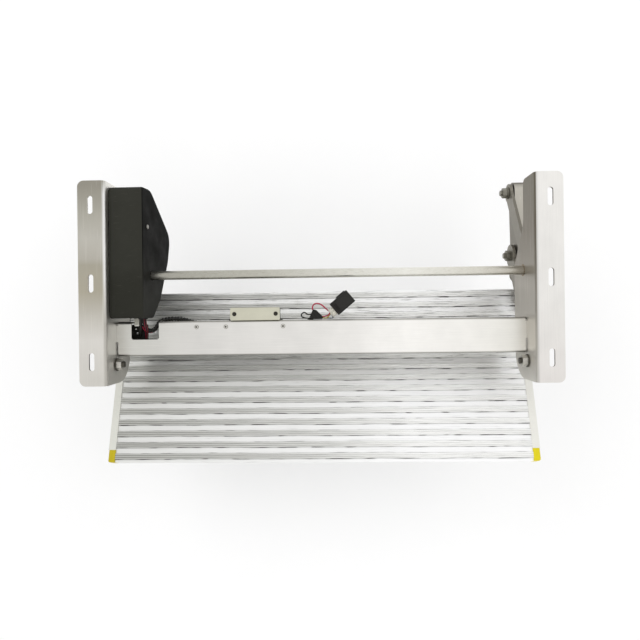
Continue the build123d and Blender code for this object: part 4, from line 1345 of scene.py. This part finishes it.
@dataclass(frozen=True)
class RingedSleeve:
    """Motor cable with a corrugated sleeve from a little way along it, in millimetres.

    The rings are drawn 4 mm apart, about twice a real sleeve's pitch, so that they show.
    """

    cable: Cable
    pitch: float = 4.0
    depth: float = 1.0
    bare_radius: float = 2.5
    bare_run: float = 21.0
    # Faces round the skin, and steps along it from ring to ring.
    sides: int = 16
    steps: int = 4

    def build(self, line: list[Vector], material: Material) -> bpy.types.Object:
        """Make the cable and its sleeve as one skin.

        Args:
            line: Centre line of the cable, in metres.
            material: Its material.

        Returns:
            The object.
        """
        recipe = Recipe("corrugated_sleeve")
        radius = recipe.size("Sleeve Radius", self.cable.diameter * MM / 2)
        depth = recipe.size("Ring Depth", self.depth * MM / 2)
        pitch = recipe.size("Ring Pitch", self.pitch * MM)
        bare = recipe.size("Bare Cable Radius", self.bare_radius * MM)
        run = recipe.size("Bare Run", self.bare_run * MM)
        step = pitch / self.steps
        curve = recipe.add("GeometryNodeMeshToCurve", {0: recipe.source})
        even = recipe.add("GeometryNodeResampleCurve", {0: curve, "Length": step}, mode="LENGTH")
        index = recipe.add("GeometryNodeInputIndex")
        wave = (index * (2 * math.pi / self.steps)).reckon("COSINE")
        extra = (index * step > run) * (radius + wave * depth - bare)
        section = recipe.add("GeometryNodeCurvePrimitiveCircle", {"Resolution": self.sides, "Radius": 1.0})
        skin = recipe.add("GeometryNodeCurveToMesh", {
            0: even, 1: section, "Scale": bare + extra, "Fill Caps": True})
        smooth = recipe.add("GeometryNodeSetShadeSmooth", {0: skin})
        return recipe.run(vertex_piece(self.cable.name, line, joined=True), smooth, material)

    def centres(self, sleeve: bpy.types.Object) -> list[Size]:
        """Find the middle of each ring of the skin.

        Args:
            sleeve: The finished object.

        Returns:
            The middles from one end to the other, in metres.
        """
        corners = [v.co for v in sleeve.data.vertices]
        rings = [corners[n:n + self.sides] for n in range(0, len(corners), self.sides)]
        return [tuple(sum(ring, Vector()) / self.sides) for ring in rings]


@dataclass(frozen=True)
class SideStrand:
    """Thin wire that winds beside a bare cable: stretch and radius in millimetres, angles in radians."""

    name: str
    stretch: Range
    radius: float
    angle: float
    twist: float
    # Share of its radius that keeps it off the cable, into which it beds a little.
    stand_off: float = 0.9

    def build(self, line: list[Vector], cable_radius: float, material: Material) -> bpy.types.Object:
        """Make the wire.

        Args:
            line: Centre line of the cable, in metres.
            cable_radius: Radius of the cable in millimetres.
            material: Material of the wire.

        Returns:
            The object.
        """
        start, end = self.stretch
        reach = (cable_radius + self.radius * self.stand_off) * MM
        gone, kept = 0.0, []
        previous = line[0]
        for point, first, second in frames_along(line):
            gone += (point - previous).length / MM
            previous = point
            if start <= gone <= end:
                angle = self.angle + self.twist * (gone - start) / (end - start)
                kept.append(point + (first * math.cos(angle) + second * math.sin(angle)) * reach)
        return wire(self.name, kept, self.radius * MM, material)


@dataclass(frozen=True)
class Wiring:
    """Motor cable in its corrugated sleeve, plug lead, taped joint, thin wires and plug, in millimetres."""

    wardrobe: Wardrobe
    sleeve: RingedSleeve = RingedSleeve(Cable("loom_sleeve", (
        (-238, -41, -48), (-237, -56.5, -48), (-231, -62.5, -50.5), (-223, -60.5, -52.5),
        (-217, -48.5, -53.5), (-203, -45.8, -58), (-189, -46.8, -67), (-170, -53, -72), (-148, -56, -75),
        (-128, -53, -78), (-105.5, -42, -79), (-105.5, -42, -64.5)), 6.0))
    loom_strand: SideStrand = SideStrand("loom_red_strand", (14.0, 36.0), 0.7, 1.0, 1.4)
    lead: Cable = Cable("plug_lead_cord", (
        (-64, -41, -64.5), (-64, -41, -77), (-50, -55, -79), (-32, -57, -77), (-16, -52, -74),
        (-7, -44, -66), (-5, -43, -56), (-5, -43, -47.5)), 5.0)
    red: Cable = Cable("red_wire_cord", (
        (-9, -36.5, -44), (-9.5, -31, -43), (-4, -27.5, -42.5), (3, -29.5, -42.5), (9, -35.5, -43),
        (12.95, -38.75, -43.5)), 1.8)
    black: Cable = Cable("black_wire_cord", (
        (-10.5, -42.2, -44), (-15.5, -43.4, -43), (-20, -38.9, -42.5), (-25, -43, -43.5),
        (-21.5, -47.8, -45.5), (-11.5, -47.6, -46.5)), 1.8)
    plug: MouldedBlock = MouldedBlock(
        "lead_plug", (30.7, -27.5, -44.0), (29.0, 19.0, 12.0), 0.8, turn=40.0, mouth=(2.6, 6.0),
        panel=(2.2, 0.5), latch=(14.5, 1.5, 7.2, 4.83), ribs=3)
    back_strand: Cable = Cable("red_back_strand", (
        (13.6, -37.6, -43), (14.2, -41, -43.2), (11.6, -44.2, -43.6), (6.5, -45.6, -44.4),
        (2.5, -45.6, -44.8)), 1.7)
    terminals: MouldedBlock = MouldedBlock(
        "terminal_block", (-245.6, -73.2, -57.9), (20.4, 39.4, 9.2), 0.9, panel=(2.0, 0.6))
    clip: MouldedBlock = MouldedBlock(
        "pale_clip", (-245.9, -50.2, -47.0), (6.4, 11.0, 7.0), 1.1, panel=(1.3, 0.6))
    bead_outline: Outline = (
        (0.3, -0.9, False), (0.9, -0.6, False), (1.1, 0.0, False), (0.9, 0.6, False), (0.3, 0.9, False))
    bead_spots: tuple[Size, ...] = ((-249.6, -59.6, -52.9), (-247.6, -65.0, -52.9), (-222.6, -64.2, -51.8))
    motor_tail: Cable = Cable("motor_tail_cord", (
        (-241.2, -45.2, -47.5), (-241.8, -54, -47.5), (-243, -62, -50), (-244, -70, -55.5),
        (-244, -79, -58)), 4.6)
    red_tail: Cable = Cable("red_tail_cord", (
        (-235.6, -45.6, -44.8), (-235.4, -52, -44.2), (-234.4, -60, -45.6), (-235.4, -67, -50),
        (-237.5, -73, -54.6), (-238.5, -79, -58)), 1.3)
    dark_tail: Cable = Cable("dark_red_tail_cord", (
        (-233.8, -45.8, -46.4), (-232.9, -53, -44.8), (-231.2, -61, -46.6), (-234, -69, -51.2),
        (-236.4, -75, -55.6), (-237, -81, -58)), 1.3)

    def build(self) -> None:
        """Build and dress all of the wiring."""
        self.build_loom()
        self.build_lead()
        self.build_terminals()
        self.build_tails()
        self.wardrobe.dress("pvc_yellow_extruded", "wire_yellow")
        self.wardrobe.dress("pvc_grey_extruded", "wire_grey")
        self.wardrobe.dress("pvc_tape_wound", "taped_joint")
        self.wardrobe.dress("silicone_clear_moulded", "connector_neck")
        self.wardrobe.dress("rubber_moulded", "loom_gland")

    def build_loom(self) -> None:
        """Make the motor cable in its sleeve, with a thin strand beside its bare start."""
        materials = self.wardrobe.materials
        cable = self.sleeve.cable
        line = cable.line()
        sleeve = fixed(self.sleeve.build(line, materials["pvc_black_extruded"]), "cable_black", "motor_loom")
        strand = self.loom_strand.build(line, self.sleeve.bare_radius, materials["pvc_red_extruded"])
        fixed(strand, "wire_red")
        cable.start()
        self.sleeve.centres(sleeve)

    def build_lead(self) -> None:
        """Make the plug and its lead, and the red and black wires that fan out of the taped joint."""
        materials = self.wardrobe.materials
        lead = fixed(self.lead.build(materials["pvc_black_extruded"]), "cable_black", "plug_lead")
        red = fixed(self.red.build(materials["pvc_red_extruded"]), "wire_red", "wire_red")
        black = fixed(self.black.build(materials["pvc_black_extruded"]), "cable_black", "wire_black")
        plug = fixed(self.plug.build(materials["nylon_black_moulded"]), "connector_black", "lead_connector")
        back = self.back_strand
        strand = wire(back.name, back.line(), back.diameter * MM / 2, materials["pvc_red_extruded"])
        fixed(strand, "wire_red")
        carried = [self.wardrobe.nodes[name] for name in (
            "taped_joint", "wire_yellow", "wire_grey", "connector_neck")] + [plug, strand]
        self.lead.start()
        self.red.start()
        self.black.start()

    def build_terminals(self) -> None:
        """Make the terminal block inside the channel, with the pale clip and beads beside it."""
        materials = self.wardrobe.materials
        pale = materials["nylon_natural_moulded"]
        fixed(self.terminals.build(materials["nylon_black_dull"]), "connector_black")
        fixed(self.clip.build(pale), "cream_plastic")
        for n, spot in enumerate(self.bead_spots):
            mesh = turned(f"pale_bead_{n}", self.bead_outline, sides=16)
            mesh.transform(Matrix.Translation(Vector(spot) * MM))
            fixed(placed(mesh.name, mesh, pale), "cream_plastic")

    def build_tails(self) -> None:
        """Make the motor's tail and its two thin wires, which go down into the terminal block."""
        for cable, finish, slot in (
                (self.motor_tail, "pvc_black_extruded", "cable_black"),
                (self.red_tail, "pvc_crimson_extruded", "wire_red"),
                (self.dark_tail, "pvc_dark_red_extruded", "wire_red")):
            piece = fixed(cable.build(self.wardrobe.materials[finish]), slot)
            line = cable.line()
            cable.start()


@dataclass(frozen=True)
class ButtonScrews:
    """Row of button-head screws with a hexagon socket, in millimetres."""

    name: str
    node: str
    places: tuple[Range, ...]
    # Height of their seat, then radius and height of the head, and radius and depth of the shank.
    seat: float
    head: Range
    shank: Range
    socket: float
    finish: str
    slot: str
    tip: float = 0.5
    tip_share: float = 0.6
    # Rings of the head and of the socket, as shares of their radius and of the head's height.
    dome: tuple[Range, ...] = ((0.96, 0.0), (1.0, 0.12), (0.97, 0.38), (0.82, 0.74), (0.60, 0.96))
    recess: Outline = ((1.18, 1.0, False), (1.0, 0.94, True), (0.97, 0.3, True), (0.3, 0.14, False))
    sharp_angle: float = math.radians(32)
    seed: int = 7

    def outline(self) -> Outline:
        """List the rings of one screw, from its tip up over the head and down into the socket.

        Returns:
            The rings, with the seat at height 0.
        """
        radius, height = self.head
        thin, deep = self.shank
        shank = ((thin * self.tip_share, -deep, False), (thin, -deep + self.tip, False), (thin, 0.0, False))
        dome = tuple((radius * out, height * up, False) for out, up in self.dome)
        return shank + dome + tuple((self.socket * out, height * up, six) for out, up, six in self.recess)

    def build(self, wardrobe: Wardrobe) -> None:
        """Put one turned screw at each place, each turned its own way.

        Args:
            wardrobe: Where its material is.
        """
        one = self.name + "_one"
        pattern = placed(one, turned(one, self.outline()))
        recipe = Recipe(self.name)
        source = recipe.size("Screw", pattern, "NodeSocketObject")
        seed = recipe.size("Seed", self.seed, "NodeSocketInt")
        screw = recipe.add("GeometryNodeObjectInfo", {"Object": source}, out="Geometry")
        turn = recipe.add("FunctionNodeRandomValue", {"Seed": seed, 3: math.pi}, out=1, data_type="FLOAT")
        spin = recipe.add("ShaderNodeCombineXYZ", {2: turn})
        row = recipe.add("GeometryNodeInstanceOnPoints", {
            0: recipe.source, "Instance": screw, "Rotation": spin})
        base = vertex_piece(self.name, [Vector((x, y, self.seat)) * MM for x, y in self.places])
        piece = recipe.run(base, row, wardrobe.materials[self.finish])
        piece.data.set_sharp_from_angle(angle=self.sharp_angle)
        bpy.data.objects.remove(pattern)
        fixed(piece, self.slot, self.node)


@dataclass(frozen=True)
class Structure:
    """Brackets, cross channel, control box and motor drive: all that stays still."""

    wardrobe: Wardrobe
    screws: tuple[ButtonScrews, ...] = (
        ButtonScrews("channel_button_screws", "channel_screws", ((-163, -57.5), (-124, -57.5), (-48, -57.5)),
                     -37.0, (2.9, 1.6), (1.4, 5.4), 1.5, "zinc_plated_screw", "zinc_steel"),
        ButtonScrews("lid_button_screws", "control_lid_screws", ((-112.5, -41), (-57.5, -41)),
                     -37.0, (2.8, 1.2), (1.2, 9.8), 1.2, "steel_blackened", "black_screw"),
    )

    def build(self) -> None:
        """Dress the fixed pieces and add the screws."""
        dress = self.wardrobe.dress
        dress("stainless_brushed_left", "left_bracket")
        dress("stainless_brushed_right", "right_bracket")
        dress("aluminium_brushed", "cross_channel")
        dress("abs_black_moulded", "motor_cover", "cover_back")
        dress("steel_blackened", "cover_screws")
        dress("zinc_plated", "cover_face_screw", "gear_case_screws", "support_pivot_sleeves")
        dress("abs_cream_moulded", "control_lid")
        dress("abs_grey_moulded", "control_box")
        dress("glass_epoxy_laminate", "control_board")
        dress("aluminium_cast", "gear_case")
        dress("steel_drawn", "motor_can")
        dress("zinc_plated_bright", "support_pivot_nuts")
        dress("zinc_plated_grimy", "support_pivot_bolts", "support_pivot_washers")
        dress("bronze_sintered", "shaft_bush_left", "shaft_bush_right")
        for screws in self.screws:
            screws.build(self.wardrobe)


@dataclass(frozen=True)
class Linkage:
    """Shaft, drive arms, support arms and their pivots."""

    wardrobe: Wardrobe

    def build(self) -> None:
        """Dress the moving links."""
        dress = self.wardrobe.dress
        dress("steel_ground", "drive_shaft")
        dress("steel_pressed", "drive_arm_left", "drive_arm_right", "support_arm_left", "support_arm_right")
        dress("brass_cut", "worm_wheel")
        dress("rubber_moulded", "support_bushes")
        dress("zinc_plated", "arm_pins", "link_sleeves", "drive_pin_sleeves")
        dress("zinc_plated_dull", "link_bolts", "link_nuts", "link_washers")
        dress("zinc_plated_dull", "drive_pin_bolts", "drive_pin_nuts", "drive_pin_washers")


@dataclass(frozen=True)
class Tread:
    """Ribbed deck with its two sides and yellow corner caps."""

    wardrobe: Wardrobe

    def build(self) -> None:
        """Dress the tread."""
        dress = self.wardrobe.dress
        dress("aluminium_extruded", "tread_deck")
        dress("stainless_pressed_left", "tread_side_left")
        dress("stainless_pressed_right", "tread_side_right")
        dress("polypropylene_yellow_moulded", "corner_cap_left", "corner_cap_right")
        dress("zinc_plated", "tread_screws")


def main() -> None:
    """Build the looks: view, finishes, wiring, structure, linkage, tread and studio."""
    logging.basicConfig(level=logging.INFO)
    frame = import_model()
    Viewpoint().build()
    finishes = Finishes()
    finishes.build()
    wardrobe = Wardrobe(frame["nodes"], finishes.made)
    Wiring(wardrobe).build()
    Structure(wardrobe).build()
    Linkage(wardrobe).build()
    Tread(wardrobe).build()
    Studio().build()


if __name__ == "__main__":
    main()
